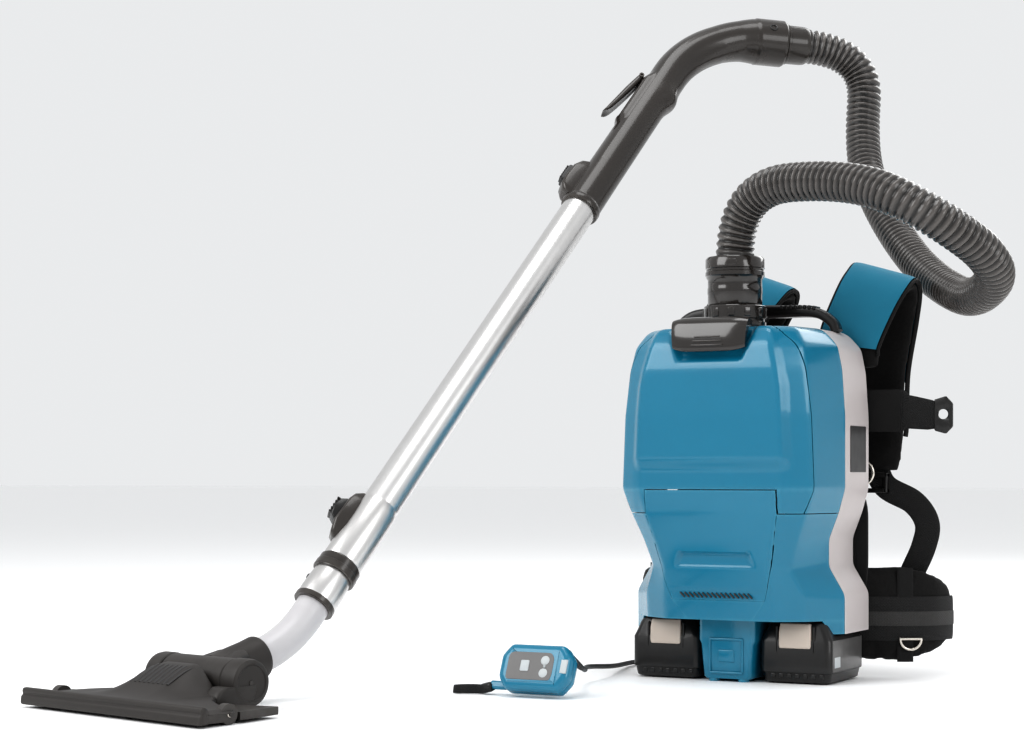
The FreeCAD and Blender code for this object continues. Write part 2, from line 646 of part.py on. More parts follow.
collar_at = bend_end - end_dir * 4.0
handle = handleSweep(handle_r, 0.0, collar_len - 6.0)
handle = handle.fuse(Part.makeCylinder(collar_r, collar_len, collar_at, end_dir))
lock_house = box(-33, -10, -12, 12, 10, 58)
lock_house = rounded(lock_house, 4.0, along((0, 1, 0)))
handle = handle.fuse(lock_house)
handle = handle.fuse(box(-28, -14, -14, 14, flap_z - 72.5, flap_z + 3.5))
handle = handle.cut(handleSweep(17.0, -1.0, collar_len + 10.0))
handle = handle.cut(rod(tube_r + pipe_fit, (0, 0, -1), (0, 0, 1), tube_in_handle + 1.0))
handle = handle.cut(box(-29, -22.5, -11.4, 11.4, flap_z - 69.5, flap_z + 5.5))
handle = handle.cut(box(-26, -10, -6, 6, flap_z - 50.5, flap_z - 18.5))
ferrule_from = bend_end + end_dir * (collar_len - 4.0 - 18.0)
handle = handle.cut(Part.makeCylinder(ferrule_r + run_fit, 30.0, ferrule_from, end_dir))
handle = handle.cut(box(-40, -26.2 + key_travel + 0.3, -7.4, 7.4, 21.6, 46.4))
handle = handle.removeSplitter()
handle = handle.fuse(rod(1.2, (-25.4, -13.5, flap_z), (0, 1, 0), 27))
save(placed(handle, wand_frame), "handle_shell")
flap = box(-26.6, -23.4, -11, 11, flap_z - 68.5, flap_z + 1.5)
flap = flap.fuse(rod(2.6, (-25.4, -11, flap_z), (0, 1, 0), 22))
flap = flap.cut(rod(1.2 + run_fit, (-25.4, -20, flap_z), (0, 1, 0), 40))
flap.rotate(V(-25.4, 0, flap_z), V(0, 1, 0), flap_open)
save(placed(flap, wand_frame), "suction_flap")
tab = box(-37.0, -26.2, -7.0, 7.0, 22.0, 46.0)
for i in range(6):
    tab = tab.cut(box(-38, -36.0, -8, 8, 25.0 + i * 3.4, 26.4 + i * 3.4))
save(placed(tab, wand_frame), "tube_lock_button")
hose_start = wand_frame.inverse().multVec(V(*hose_points[0]))
ferrule = Part.makeCylinder(ferrule_r, (hose_start - ferrule_from).dot(end_dir) - 0.46, ferrule_from + end_dir * 0.4,
                            end_dir)
ferrule = ferrule.cut(Part.makeCylinder(duct_r, 80, ferrule_from - end_dir * 10, end_dir))
print("ferrule end misses hose start by", round(((hose_start - bend_end).cross(end_dir)).Length, 2))
save(placed(ferrule, wand_frame), "hose_ferrule")

outer = tube(tube_r, tube_r - tube_wall, (0, 0, -tube_len), (0, 0, 1), tube_len + tube_in_handle)
save(placed(outer, wand_frame), "outer_tube")
sleeve_end = inner_low - ring_above - 0.6
lock_body = rod(tube_r + 1.4, (0, 0, -sleeve_end), (0, 0, 1), sleeve_end - tube_len)
lock_body = lock_body.fuse(box(-33, -12, -13, 13, -tube_len - 46, -tube_len + 6))
lock_body = lock_body.cut(rod(tube_r + pipe_fit, (0, 0, -tube_len), (0, 0, 1), 60))
lock_body = lock_body.cut(rod(inner_r + run_fit, (0, 0, -tube_len - 90), (0, 0, 1), 150))
lock_body = lock_body.cut(box(-40, -24, -9.4, 9.4, -tube_len - 38.4, -tube_len - 2.0))
save(placed(lock_body, wand_frame), "tube_lock_housing")
knob = box(-38, -24.4, -9, 9, -tube_len - 33, -tube_len - 7.4)
for i in range(5):
    z = -tube_len - 30 + i * 4.6
    knob = knob.cut(box(-39, -36.8, -10, 10, z, z + 1.8))
save(placed(knob, wand_frame), "telescope_slider")
inner = tube(inner_r, inner_r - tube_wall, (0, 0, -inner_low), (0, 0, 1), inner_low - tube_len + inner_overlap)
save(placed(inner, wand_frame), "inner_tube")
ring_one = tube(22.2, inner_r, (0, 0, -inner_low - 6), (0, 0, 1), 6 + ring_above)
save(placed(ring_one, wand_frame), "tube_end_ring")
stub = tube(20.0, pipe_r + pipe_fit, (0, 0, -inner_low - 38), (0, 0, 1), 32)
stub = stub.fuse(rod(2.9, (-21.0, 0, -inner_low - 17), (1, 0, 0), 3.0))
save(placed(stub, wand_frame), "end_stub")
ring_two = tube(20.8, pipe_r + pipe_fit, (0, 0, -inner_low - 44), (0, 0, 1), 6)
save(placed(ring_two, wand_frame), "pipe_lock_ring")

# white bent pipe from the stub to the neck of the floor head
slope = math.radians(neck_slope)
neck_dir = back * math.cos(slope) + up * math.sin(slope)
pivot = V(head_pivot[0], head_pivot[1], pivot_h)
corner = pivot + neck_dir * pipe_reach
line_top = V(*tube_top) - tube_dir * (inner_low + 10)
print("white pipe meets the tube line within", round(((line_top - corner).cross(tube_dir)).Length, 2))
pipe_start = V(*tube_top) - tube_dir * (inner_low + 8)
along_tube = (corner - V(*tube_top)).dot(tube_dir)
corner_on = V(*tube_top) + tube_dir * along_tube
neck_line = (corner_on - pivot).normalize()
p_in = corner_on + tube_dir * pipe_bend_cut
p_out = corner_on - neck_line * pipe_bend_cut
bis = (tube_dir - neck_line).normalize()
turn = tube_dir.getAngle(neck_line)
bend_r = pipe_bend_cut / math.tan(turn / 2.0)
bend_c = corner_on + bis * math.hypot(pipe_bend_cut, bend_r)
if (bend_c - p_in).Length > bend_r * 1.01:
    bend_c = corner_on - bis * math.hypot(pipe_bend_cut, bend_r)
on_arc = bend_c + (corner_on - bend_c).normalize() * bend_r
pipe_end = pivot + neck_line * (neck_end - 16.0)
pipe_wire = Part.Wire([Part.LineSegment(pipe_start, p_in).toShape(), Part.Arc(p_in, on_arc, p_out).toShape(),
                       Part.LineSegment(p_out, pipe_end).toShape()])


def pipeSweep(r):
    section = Part.Wire([Part.Circle(pipe_start, tube_dir, r).toShape()])
    return pipe_wire.makePipeShell([section], True, False)


save(pipeSweep(pipe_r).cut(pipeSweep(pipe_r - 2.0)), "bent_pipe")

# ---------------------------------------------------------------- floor head
neck_local = head_frame.inverse().multVec(pivot + neck_line * 10) - head_frame.inverse().multVec(pivot)
neck_local = neck_local.normalize()
pv = V(0, 0, pivot_h)
neck = Part.makeCylinder(neck_r, neck_end - neck_start + 12, pv + neck_local * (neck_start - 12), neck_local)
neck = neck.fuse(rod(barrel_r, (-barrel_half + 0.3, 0, pivot_h), (1, 0, 0), 2 * barrel_half - 0.6))
neck = neck.cut(Part.makeCylinder(pipe_r + pipe_fit, 40, pv + neck_local * (neck_end - 16.0), neck_local))
neck = neck.cut(Part.makeCylinder(14.0, 60, pv, neck_local))
neck = neck.cut(rod(6.0 + run_fit, (-80, 0, pivot_h), (1, 0, 0), 160))
neck = neck.cut(rod(15.0, (-20, 0, pivot_h), (1, 0, 0), 40))
save(placed(neck, head_frame), "neck_barrel")
floor_pts = [(-head_half + 4, head_front + 10), (head_half - 4, head_front + 10), (head_half - 8, head_rear - 38),
             (112, head_rear), (66, head_rear - 16), (-66, head_rear - 16), (-112, head_rear),
             (-head_half + 8, head_rear - 38)]
sole = prismXY(floor_pts, 3.0, 10.0)
sole = sole.cut(box(-92, 92, head_front + 26, head_front + 44, 0, 9.0))
for side in (-1, 1):
    x0 = side * 116.0
    sole = sole.cut(box(x0 - 5.2, x0 + 5.2, -86, -62, 0, 20))
for side in (-1, 1):
    sole = sole.fuse(rod(2.0, (side * 116.0 - 7.0, -74, roller_r), (1, 0, 0), 14.0))
save(placed(sole.removeSplitter(), head_frame), "head_sole")
deck_low = [(-head_half + 6, head_front + 10), (head_half - 6, head_front + 10), (head_half - 26, head_rear - 60),
            (barrel_half + cap_len, -36), (-barrel_half - cap_len, -36), (-head_half + 26, head_rear - 60)]
deck = prismXY(deck_low, 10.0, 15.0)
hump = prismYZ([(head_front + 14, 15), (-60, 22), (-24.5, 40), (-24.5, 15)], -52, 52)
hump = hump.common(prismXY([(-74, -98), (74, -98), (40, -60), (40, -20), (-40, -20), (-40, -60)], 0, 60))
deck = deck.fuse(hump)
for i in range(8):
    x = -25.6 + i * 6.6
    deck = deck.cut(prismYZ([(-52, 20), (-34, 29), (-34, 60), (-52, 60)], x, x + 3.2))
for side in (-1, 1):
    x0 = side * 116.0
    deck = deck.cut(box(x0 - 5.2, x0 + 5.2, -87, -61, 0, 30))
deck = deck.cut(rod(barrel_r + 0.5, (-90, 0, pivot_h), (1, 0, 0), 180))
for side in (-1, 1):
    x0 = barrel_half if side > 0 else -barrel_half - cap_len
    face_x = x0 + cap_len - 1.0 if side > 0 else x0 - 1.0
    cap = rod(cap_r, (x0, 0, pivot_h), (1, 0, 0), cap_len)
    cap = cap.fuse(box(x0, x0 + cap_len, -42, 4, 10.0, 24))
    cap = cap.fuse(box(x0 + 3, x0 + cap_len - 3, -12, 9, 0.1, 12))
    cap = cap.cut(rod(16.0, (face_x, 0, pivot_h), (1, 0, 0), 2.0))
    cap = cap.fuse(rod(6.0, (barrel_half - 10 if side > 0 else -barrel_half - 6, 0, pivot_h), (1, 0, 0), 16))
    deck = deck.fuse(cap)
deck = deck.cut(sole)
save(placed(deck.removeSplitter(), head_frame), "head_deck")
lip = prismYZ([(head_front, 3), (head_front + 10, 3), (head_front + 10, 17), (head_front + 5, 18.5),
               (head_front, 12)], -head_half, head_half)
save(placed(lip, head_frame), "front_lip")
for name, y, w in (("front_brush", head_front + 12, 4.0), ("rear_brush", head_rear - 42, 4.0)):
    save(placed(box(-108, 108, y, y + w, 0.4, 3.0), head_frame), name)
for side, name in ((-1, "left"), (1, "right")):
    x0 = side * 116.0
    wheel = rod(roller_r, (x0 - roller_w / 2, -74, roller_r), (1, 0, 0), roller_w)
    wheel = wheel.cut(rod(2.0 + run_fit, (x0 - 20, -74, roller_r), (1, 0, 0), 40))
    save(placed(wheel, head_frame), "roller_" + name)
print("wand frame", wand_frame.Base, "tube dir", tube_dir, "bend dir", bend_dir)
print("neck line", neck_line, "pivot", pivot, "bend radius", round(bend_r, 1))
print("hose end frame", wand_frame.multVec(bend_end), wand_frame.multVec(bend_end + end_dir) - wand_frame.multVec(bend_end))
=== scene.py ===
import math
import bmesh
import bpy
import numpy as np
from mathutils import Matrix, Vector


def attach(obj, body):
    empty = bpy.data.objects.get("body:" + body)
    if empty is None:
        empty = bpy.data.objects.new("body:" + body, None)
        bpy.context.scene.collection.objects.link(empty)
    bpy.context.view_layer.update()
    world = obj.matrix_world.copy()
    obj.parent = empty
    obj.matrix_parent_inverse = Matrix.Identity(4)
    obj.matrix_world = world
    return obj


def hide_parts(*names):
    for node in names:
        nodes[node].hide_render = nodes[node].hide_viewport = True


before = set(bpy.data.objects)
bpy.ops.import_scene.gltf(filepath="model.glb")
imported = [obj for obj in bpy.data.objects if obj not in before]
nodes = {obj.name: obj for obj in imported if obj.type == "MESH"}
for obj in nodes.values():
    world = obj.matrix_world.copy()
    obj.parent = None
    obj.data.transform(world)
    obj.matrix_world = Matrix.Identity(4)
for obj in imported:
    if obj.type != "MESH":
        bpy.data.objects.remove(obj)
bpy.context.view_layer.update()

print("frame loaded:", len(nodes), "nodes")

# ---- where things stand, millimetres ----
bodySections = np.array([      # height, front y, half widths: front face, corner, side
    (50, -46, 60, 87, 115), (90, -54, 58, 86, 115), (118, -62, 55, 75, 98), (146, -68, 62, 84, 98),
    (172, -73, 72, 95, 108), (197, -76, 78, 104, 115), (271, -76, 76, 101, 115), (317, -74, 72, 96, 112),
    (342, -70, 66, 91, 107), (360, -60, 58, 80, 90)], float)
bandY = 5.0
coverY = -56.0
coverLow = 172.0
rearY = 78.0
inletY = -6.0
wandHeading, wandRise, handleRoll = math.radians(14.0), math.radians(46.5), math.radians(45.0)


def unit(v):
    v = np.asarray(v, float)
    return v / np.linalg.norm(v, axis=-1, keepdims=True)


def frameOf(origin, xDir, zDir):      # columns are the x, y and z directions and the origin
    x, z = unit(xDir), unit(zDir)
    return np.column_stack([x, np.cross(z, x), z, np.asarray(origin, float)])


def toWorld(place, pts):
    return pts @ place[:, :3].T + place[:, 3]


across = np.array([math.cos(wandHeading), -math.sin(wandHeading), 0.0])
backward = np.array([math.sin(wandHeading), math.cos(wandHeading), 0.0])
upward = np.array([0.0, 0.0, 1.0])
tubeDir = backward * math.cos(wandRise) + upward * math.sin(wandRise)
lowerDir = backward * math.sin(wandRise) - upward * math.cos(wandRise)
bendDir = unit(across * math.cos(handleRoll) + lowerDir * math.sin(handleRoll))
wandFrame = frameOf((-201.2, 39.0, 500.6), bendDir, tubeDir)
headFrame = frameOf((-328.2, -470.6, 0.0), across, upward)
neckLine = np.array([0.234173, 0.941499, 0.242369])
neckPivot = np.array([-328.2, -470.6, 26.0])
lean = math.radians(-24.0)
remoteFrame = frameOf((-102.0, -270.0, 9.3), (1, 0, 0), (0, -math.sin(lean), math.cos(lean)))
worldFrame = frameOf((0, 0, 0), (1, 0, 0), (0, 0, 1))


# ---- meshes from grids ----
def gridPatch(pts, wrapU=False, wrapV=False, capStart=False, capEnd=False):
    # rows of points joined into four-cornered faces; the map on them is in metres along each direction
    n, m = pts.shape[:2]
    i, j = np.meshgrid(np.arange(n if wrapU else n - 1), np.arange(m if wrapV else m - 1), indexing="ij")
    i, j = i.ravel(), j.ravel()
    i2, j2 = (i + 1) % n, (j + 1) % m
    faces = np.stack([i * m + j, i * m + j2, i2 * m + j2, i2 * m + j], 1)
    rowStep = np.linalg.norm(np.diff(pts, axis=0, append=pts[:1]), axis=2).mean(1) * 0.001
    colStep = np.linalg.norm(np.diff(pts, axis=1, append=pts[:, :1]), axis=2).max(0) * 0.001
    u = np.concatenate([[0], np.cumsum(rowStep)])
    v = np.concatenate([[0], np.cumsum(colStep)])
    uv = np.stack([np.stack([u[i], u[i], u[i + 1], u[i + 1]], 1),
                   np.stack([v[j], v[j + 1], v[j + 1], v[j]], 1)], 2).reshape(-1, 2)
    rings = faces.tolist()
    if capStart:
        rings.append(list(range(m)))
        uv = np.vstack([uv, np.zeros((m, 2))])
    if capEnd:
        rings.append(list(range((n - 1) * m, n * m)))
        uv = np.vstack([uv, np.zeros((m, 2))])
    return pts.reshape(-1, 3), rings, uv


def wallPatch(front, rear):
    # front and rear grids of the same size, closed by a strip all round their edge
    n, m = front.shape[:2]
    a, b = gridPatch(front), gridPatch(rear)
    k = n * m
    idx = np.arange(k).reshape(n, m)
    rim = np.concatenate([idx[0, :-1], idx[:-1, -1], idx[-1, :0:-1], idx[:0:-1, 0]])
    nxt = np.roll(rim, -1)
    strip = np.stack([rim, nxt, nxt + k, rim + k], 1)
    faces = a[1] + [[q + k for q in f[::-1]] for f in b[1]] + strip.tolist()
    uv = np.vstack([a[2], b[2], np.zeros((len(strip) * 4, 2))])
    return np.vstack([a[0], b[0]]), faces, uv


def turnedPatch(profile, place=worldFrame, count=64):
    # a closed profile of radius and height carried round the z axis of a frame
    profile = np.asarray(profile, float)
    a = np.linspace(0, 2 * np.pi, count, endpoint=False)
    pts = np.stack([profile[:, :1] * np.cos(a), profile[:, :1] * np.sin(a),
                    np.repeat(profile[:, 1:], count, 1)], 2)
    return gridPatch(toWorld(place, pts), wrapU=True, wrapV=True)


def roundRect(halfW, halfH, r, k=5):
    # a rectangle with corner arcs of radius r, one row for each station
    halfW, halfH, r = (np.atleast_1d(np.asarray(q, float))[:, None] for q in (halfW, halfH, r))
    a = np.concatenate([np.linspace(0, 1, k) + q for q in range(4)]) * np.pi / 2
    sx = np.repeat([1, -1, -1, 1], k)
    sy = np.repeat([1, 1, -1, -1], k)
    r = np.minimum(r, np.minimum(halfW, halfH))
    return sx * (halfW - r) + r * np.cos(a), sy * (halfH - r) + r * np.sin(a)


def loftPatch(place, z, halfW, halfH, r, dx=0.0, dy=0.0, k=5, edge=0.0, steps=4):
    # rounded rectangles at heights z of a frame, drawn in by a quarter circle of radius edge at both ends
    z, halfW, halfH, r, dx, dy = np.broadcast_arrays(*(np.asarray(q,
                                                                  float) for q in (z, halfW, halfH, r, dx, dy)))
    if edge > 0:
        turn = np.linspace(0, np.pi / 2, steps)
        lift = edge * (1 - np.sin(turn))
        span = np.concatenate([z[0] + edge - edge * np.cos(turn), z[-1] - edge + edge * np.cos(turn[::-1])])
        shrink = np.concatenate([lift, lift[::-1]])
        mid = [q for q in z if z[0] + edge * 1.01 < q < z[-1] - edge * 1.01]
        allZ = np.concatenate([span, mid])
        allS = np.concatenate([shrink, np.zeros(len(mid))])
        order = np.argsort(allZ, kind="stable")
        allZ, allS = allZ[order], allS[order]
        halfW, halfH, r, dx, dy = (np.interp(allZ, z, q) for q in (halfW, halfH, r, dx, dy))
        halfW, halfH, r, z = halfW - allS, halfH - allS, np.maximum(r - allS, 0.05), allZ
    x, y = roundRect(halfW, halfH, r, k)
    pts = np.stack([x + dx[:, None] if np.ndim(dx) else x + dx, y + dy[:, None] if np.ndim(dy) else y + dy,
                    np.repeat(z[:, None], x.shape[1], 1)], 2)
    return gridPatch(toWorld(place, pts), wrapV=True, capStart=True, capEnd=True)


def blockPatch(x0, x1, y0, y1, z0, z1, edge=1.0, corner=None, place=worldFrame, k=5):
    # a block with rounded corners and softened ends
    centre = toWorld(place, np.array([(x0 + x1) / 2, (y0 + y1) / 2, 0.0]))
    local = np.column_stack([place[:, :3], centre])
    return loftPatch(local, (z0, z1), (x1 - x0) / 2, (y1 - y0) / 2, corner or edge, k=k, edge=edge)


def alongPath(points, turnRef=None):
    # directions of a path and two cross directions that turn as little as they can along it
    tangent = unit(np.gradient(points, axis=0))
    side = np.zeros_like(points)
    start = np.cross(tangent[0], turnRef if turnRef is not None else (0.31, 0.17, 0.93))
    side[0] = start / np.linalg.norm(start)
    for k in range(1, len(points)):
        s = side[k - 1] - tangent[k] * np.dot(side[k - 1], tangent[k])
        side[k] = s / np.linalg.norm(s)
    return tangent, side, np.cross(tangent, side)


def sweepPatch(points, x, y, turnRef=None, cap=True):
    # section points x, y carried along a path
    _, side, other = alongPath(points, turnRef)
    pts = points[:, None] + x[..., None] * side[:, None] + y[..., None] * other[:, None]
    return gridPatch(pts, wrapV=True, capStart=cap, capEnd=cap)


def bandPatch(centre, across, width, thick, crown=0.0, count=14):
    # a flat strap: a thin rounded section, width along a given direction, carried along a path
    centre = np.asarray(centre, float)
    tangent = unit(np.gradient(centre, axis=0))
    wide = np.broadcast_to(np.asarray(across, float), centre.shape)
    wide = unit(wide - tangent * (wide * tangent).sum(1, keepdims=True))
    out = np.cross(tangent, wide)
    width, thick = np.broadcast_to(width, len(centre)), np.broadcast_to(thick, len(centre))
    t = np.linspace(-1, 1, count)
    bulge = np.sqrt(np.maximum(1 - np.abs(t) ** 6, 0.02))
    top = thick[:, None] / 2 * bulge + crown * (1 - t ** 2)
    low = -thick[:, None] / 2 * bulge
    wide3, out3 = wide[:, None], out[:, None]
    upper = centre[:, None] + wide3 * (width[:, None] / 2 * t)[..., None] + out3 * top[..., None]
    lower = centre[:, None] + wide3 * (width[:, None] / 2 * t)[..., None] + out3 * low[..., None]
    pts = np.concatenate([upper, lower[:, ::-1]], 1)
    return gridPatch(pts, wrapV=True, capStart=True, capEnd=True)


def smoothLine(points, count=60):
    # a soft curve through given points: a Catmull-Rom blend of four neighbours
    p = np.asarray(points, float)
    p = np.vstack([2 * p[0] - p[1], p, 2 * p[-1] - p[-2]])
    t = np.linspace(0, len(p) - 3 - 1e-6, count)
    k = t.astype(int)
    f = (t - k)[:, None]
    a, b, c, d = p[k], p[k + 1], p[k + 2], p[k + 3]
    return 0.5 * (2 * b + (c - a) * f + (2 * a - 5 * b + 4 * c - d) * f ** 2 + (3 * b - a - 3 * c + d) * f ** 3)


def makePiece(name, patches, body, finish, replaces=(), sharp=32.0, bevel=0.0, merge=1e-5):
    # joins patches into one object, closes seams, faces outwards, and hangs it on its body
    patches = [patches] if isinstance(patches[0], np.ndarray) else patches
    verts, faces, uv, base = [], [], [], 0
    for p, f, q in patches:
        verts.append(p)
        faces.extend([[a + base for a in ring] for ring in f])
        uv.append(q)
        base += len(p)
    mesh = bpy.data.meshes.new(name)
    mesh.from_pydata((np.vstack(verts) * 0.001).tolist(), [], faces)
    layer = mesh.uv_layers.new(name="map")
    layer.data.foreach_set("uv", np.vstack(uv).ravel())
    bm = bmesh.new()
    bm.from_mesh(mesh)
    bmesh.ops.remove_doubles(bm, verts=bm.verts, dist=merge)
    bmesh.ops.dissolve_degenerate(bm, edges=bm.edges, dist=1e-6)
    bmesh.ops.recalc_face_normals(bm, faces=bm.faces)
    bm.to_mesh(mesh)
    bm.free()
    mesh.polygons.foreach_set("use_smooth", np.ones(len(mesh.polygons), bool))
    mesh.set_sharp_from_angle(angle=math.radians(sharp))
    piece = bpy.data.objects.new(name, mesh)
    bpy.context.scene.collection.objects.link(piece)
    piece.data.materials.append(finish)
    if bevel > 0:
        m = piece.modifiers.new("edges", "BEVEL")
        m.width, m.segments, m.limit_method, m.angle_limit = bevel * 0.001, 2, "ANGLE", math.radians(40)
    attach(piece, body)
    if replaces:
        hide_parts(*([replaces] if isinstance(replaces, str) else replaces))
    return piece


# ---- camera, lights and floor ----
cameraLook = {"sensor": 36.0, "lens": 73.83, "rise": 0.1006, "reach": 60.0,
              "place": (0.8129, -2.0243, 0.211), "tilt": 90, "turn": 28, "exposure": -0.42}
camData = bpy.data.cameras.new("camera")
camData.sensor_width = cameraLook["sensor"]
camData.lens = cameraLook["lens"]
camData.shift_y = cameraLook["rise"]
camData.clip_end = cameraLook["reach"]
camera = bpy.data.objects.new("camera", camData)
camera.location = cameraLook["place"]
camera.rotation_euler = (math.radians(cameraLook["tilt"]), 0.0, math.radians(cameraLook["turn"]))
bpy.context.scene.collection.objects.link(camera)
bpy.context.scene.camera = camera
bpy.context.scene.view_settings.view_transform = "Standard"
bpy.context.scene.view_settings.look = "High Contrast"
bpy.context.scene.view_settings.exposure = cameraLook["exposure"]

studio = {"key": ((-1.5, -2.1, 1.9), 1.8, 40.0), "side": ((2.4, -0.9, 1.3), 1.2, 16.0),
          "back": ((0.6, 2.2, 1.9), 1.6, 22.0), "top": ((0.0, -0.2, 2.8), 1.4, 20.0)}
for lampName, (place, size, power) in studio.items():
    lampData = bpy.data.lights.new(lampName, "AREA")
    lampData.shape, lampData.size, lampData.energy = "SQUARE", size, power
    lamp = bpy.data.objects.new(lampName, lampData)
    lamp.location = place
    lamp.rotation_euler = (Vector((0, 0, 0.3)) - Vector(place)).to_track_quat("-Z", "Y").to_euler()
    bpy.context.scene.collection.objects.link(lamp)
world = bpy.data.worlds.new("room")
bpy.context.scene.world = world
world.use_nodes = True
world.node_tree.nodes["Background"].inputs["Color"].default_value = (0.93, 0.94, 0.95, 1)
world.node_tree.nodes["Background"].inputs["Strength"].default_value = 0.85


# ---- finishes ----
def addNode(tree, kind, **values):
    node = tree.nodes.new(kind)
    for key, value in values.items():
        if key in node.inputs:
            node.inputs[key].default_value = value
        else:
            setattr(node, key, value)
    return node


def newGroup(name, inputs, outputs):
    group = bpy.data.node_groups.new(name, "ShaderNodeTree")
    for label, kind, value in inputs:
        socket = group.interface.new_socket(name=label, in_out="INPUT", socket_type=kind)
        socket.default_value = value
    for label, kind in outputs:
        group.interface.new_socket(name=label, in_out="OUTPUT", socket_type=kind)
    return group, group.nodes.new("NodeGroupInput"), group.nodes.new("NodeGroupOutput")


def math2(tree, how, a, b=None, c=None):
    node = tree.nodes.new("ShaderNodeMath")
    node.operation = how
    for k, value in enumerate((a, b, c)):
        if value is None:
            continue
        if isinstance(value, (int, float)):
            node.inputs[k].default_value = value
        else:
            tree.links.new(value, node.inputs[k])
    return node.outputs[0]


def buildGrain():      # moulded grain: two sizes of noise on object coordinates
    group, into, out = newGroup("moulded grain", [("Scale", "NodeSocketFloat", 900.0),
                                                  ("Blotch", "NodeSocketFloat", 14.0)],
                                [("Height", "NodeSocketFloat"), ("Cloud", "NodeSocketFloat")])
    coord = group.nodes.new("ShaderNodeTexCoord")
    for scaleName, outName, detail in (("Scale", "Height", 3.0), ("Blotch", "Cloud", 5.0)):
        noise = addNode(group, "ShaderNodeTexNoise", Detail=detail, Roughness=0.6)
        group.links.new(coord.outputs["Object"], noise.inputs["Vector"])
        group.links.new(into.outputs[scaleName], noise.inputs["Scale"])
        group.links.new(noise.outputs["Fac"], out.inputs[outName])
    return group


def buildWear():       # rubbed edges: the sharpness of the surface broken up by noise
    group, into, out = newGroup("edge wear", [("Reach", "NodeSocketFloat", 0.5),
                                              ("Scale", "NodeSocketFloat", 60.0)],
                                [("Mask", "NodeSocketFloat")])
    geo = group.nodes.new("ShaderNodeNewGeometry")
    coord = group.nodes.new("ShaderNodeTexCoord")
    noise = addNode(group, "ShaderNodeTexNoise", Detail=6.0)
    group.links.new(coord.outputs["Object"], noise.inputs["Vector"])
    group.links.new(into.outputs["Scale"], noise.inputs["Scale"])
    edge = addNode(group, "ShaderNodeMapRange")
    edge.inputs["From Min"].default_value, edge.inputs["From Max"].default_value = 0.52, 0.62
    group.links.new(geo.outputs["Pointiness"], edge.inputs["Value"])
    mask = math2(group, "MULTIPLY", edge.outputs["Result"], noise.outputs["Fac"])
    group.links.new(math2(group, "MULTIPLY", mask, into.outputs["Reach"]), out.inputs["Mask"])
    return group


def buildWeave():      # plain weave: over and under threads as crossed sine ridges on a map in metres
    group, into, out = newGroup("plain weave", [("Vector", "NodeSocketVector", (0, 0, 0)),
                                                ("Threads", "NodeSocketFloat", 900.0)],
                                [("Height", "NodeSocketFloat"), ("Shade", "NodeSocketFloat")])
    split = group.nodes.new("ShaderNodeSeparateXYZ")
    group.links.new(into.outputs["Vector"], split.inputs[0])
    u = math2(group, "MULTIPLY", split.outputs[0], into.outputs["Threads"])
    v = math2(group, "MULTIPLY", split.outputs[1], into.outputs["Threads"])
    ridgeU = math2(group, "ABSOLUTE", math2(group, "SINE", math2(group, "MULTIPLY", u, math.pi)))
    ridgeV = math2(group, "ABSOLUTE", math2(group, "SINE", math2(group, "MULTIPLY", v, math.pi)))
    odd = math2(group, "MODULO", math2(group, "ADD", math2(group, "FLOOR", u), math2(group, "FLOOR", v)), 2.0)
    odd = math2(group, "ABSOLUTE", odd)
    high = math2(group, "ADD", math2(group, "MULTIPLY", ridgeU, odd),
                 math2(group, "MULTIPLY", ridgeV, math2(group, "SUBTRACT", 1.0, odd)))
    group.links.new(high, out.inputs["Height"])
    noise = addNode(group, "ShaderNodeTexNoise", Scale=45.0, Detail=4.0)
    coord = group.nodes.new("ShaderNodeTexCoord")
    group.links.new(coord.outputs["Object"], noise.inputs["Vector"])
    shade = math2(group, "MULTIPLY_ADD", high, 0.55, math2(group, "MULTIPLY", noise.outputs["Fac"], 0.45))
    group.links.new(shade, out.inputs["Shade"])
    return group


def buildMesh():       # spacer mesh: round cells, dark holes between raised threads
    group, into, out = newGroup("spacer mesh", [("Scale", "NodeSocketFloat", 420.0)],
                                [("Height", "NodeSocketFloat"), ("Shade", "NodeSocketFloat")])
    coord = group.nodes.new("ShaderNodeTexCoord")
    cells = addNode(group, "ShaderNodeTexVoronoi", feature="SMOOTH_F1")
    group.links.new(coord.outputs["Object"], cells.inputs["Vector"])
    group.links.new(into.outputs["Scale"], cells.inputs["Scale"])
    group.links.new(cells.outputs["Distance"], out.inputs["Height"])
    noise = addNode(group, "ShaderNodeTexNoise", Scale=30.0, Detail=5.0)
    group.links.new(coord.outputs["Object"], noise.inputs["Vector"])
    group.links.new(math2(group, "MULTIPLY", cells.outputs["Distance"], noise.outputs["Fac"]),
                    out.inputs["Shade"])
    return group


grainGroup, wearGroup, weaveGroup, meshGroup = buildGrain(), buildWear(), buildWeave(), buildMesh()


def useGroup(tree, group, **values):
    node = tree.nodes.new("ShaderNodeGroup")
    node.node_tree = group
    for key, value in values.items():
        node.inputs[key].default_value = value
    return node


def mixColour(tree, factor, a, b):
    node = tree.nodes.new("ShaderNodeMix")
    node.data_type = "RGBA"
    for socket, value in ((node.inputs[6], a), (node.inputs[7], b)):
        if isinstance(value, tuple):
            socket.default_value = value if len(value) == 4 else (*value, 1)
        else:
            tree.links.new(value, socket)
    if isinstance(factor, (int, float)):
        node.inputs[0].default_value = factor
    else:
        tree.links.new(factor, node.inputs[0])
    return node.outputs[2]


def newFinish(name, **sockets):
    finish = bpy.data.materials.new(name)
    finish.use_nodes = True
    shader = finish.node_tree.nodes["Principled BSDF"]
    for key, value in sockets.items():
        shader.inputs[key.replace("_", " ")].default_value = value
    return finish, finish.node_tree, shader


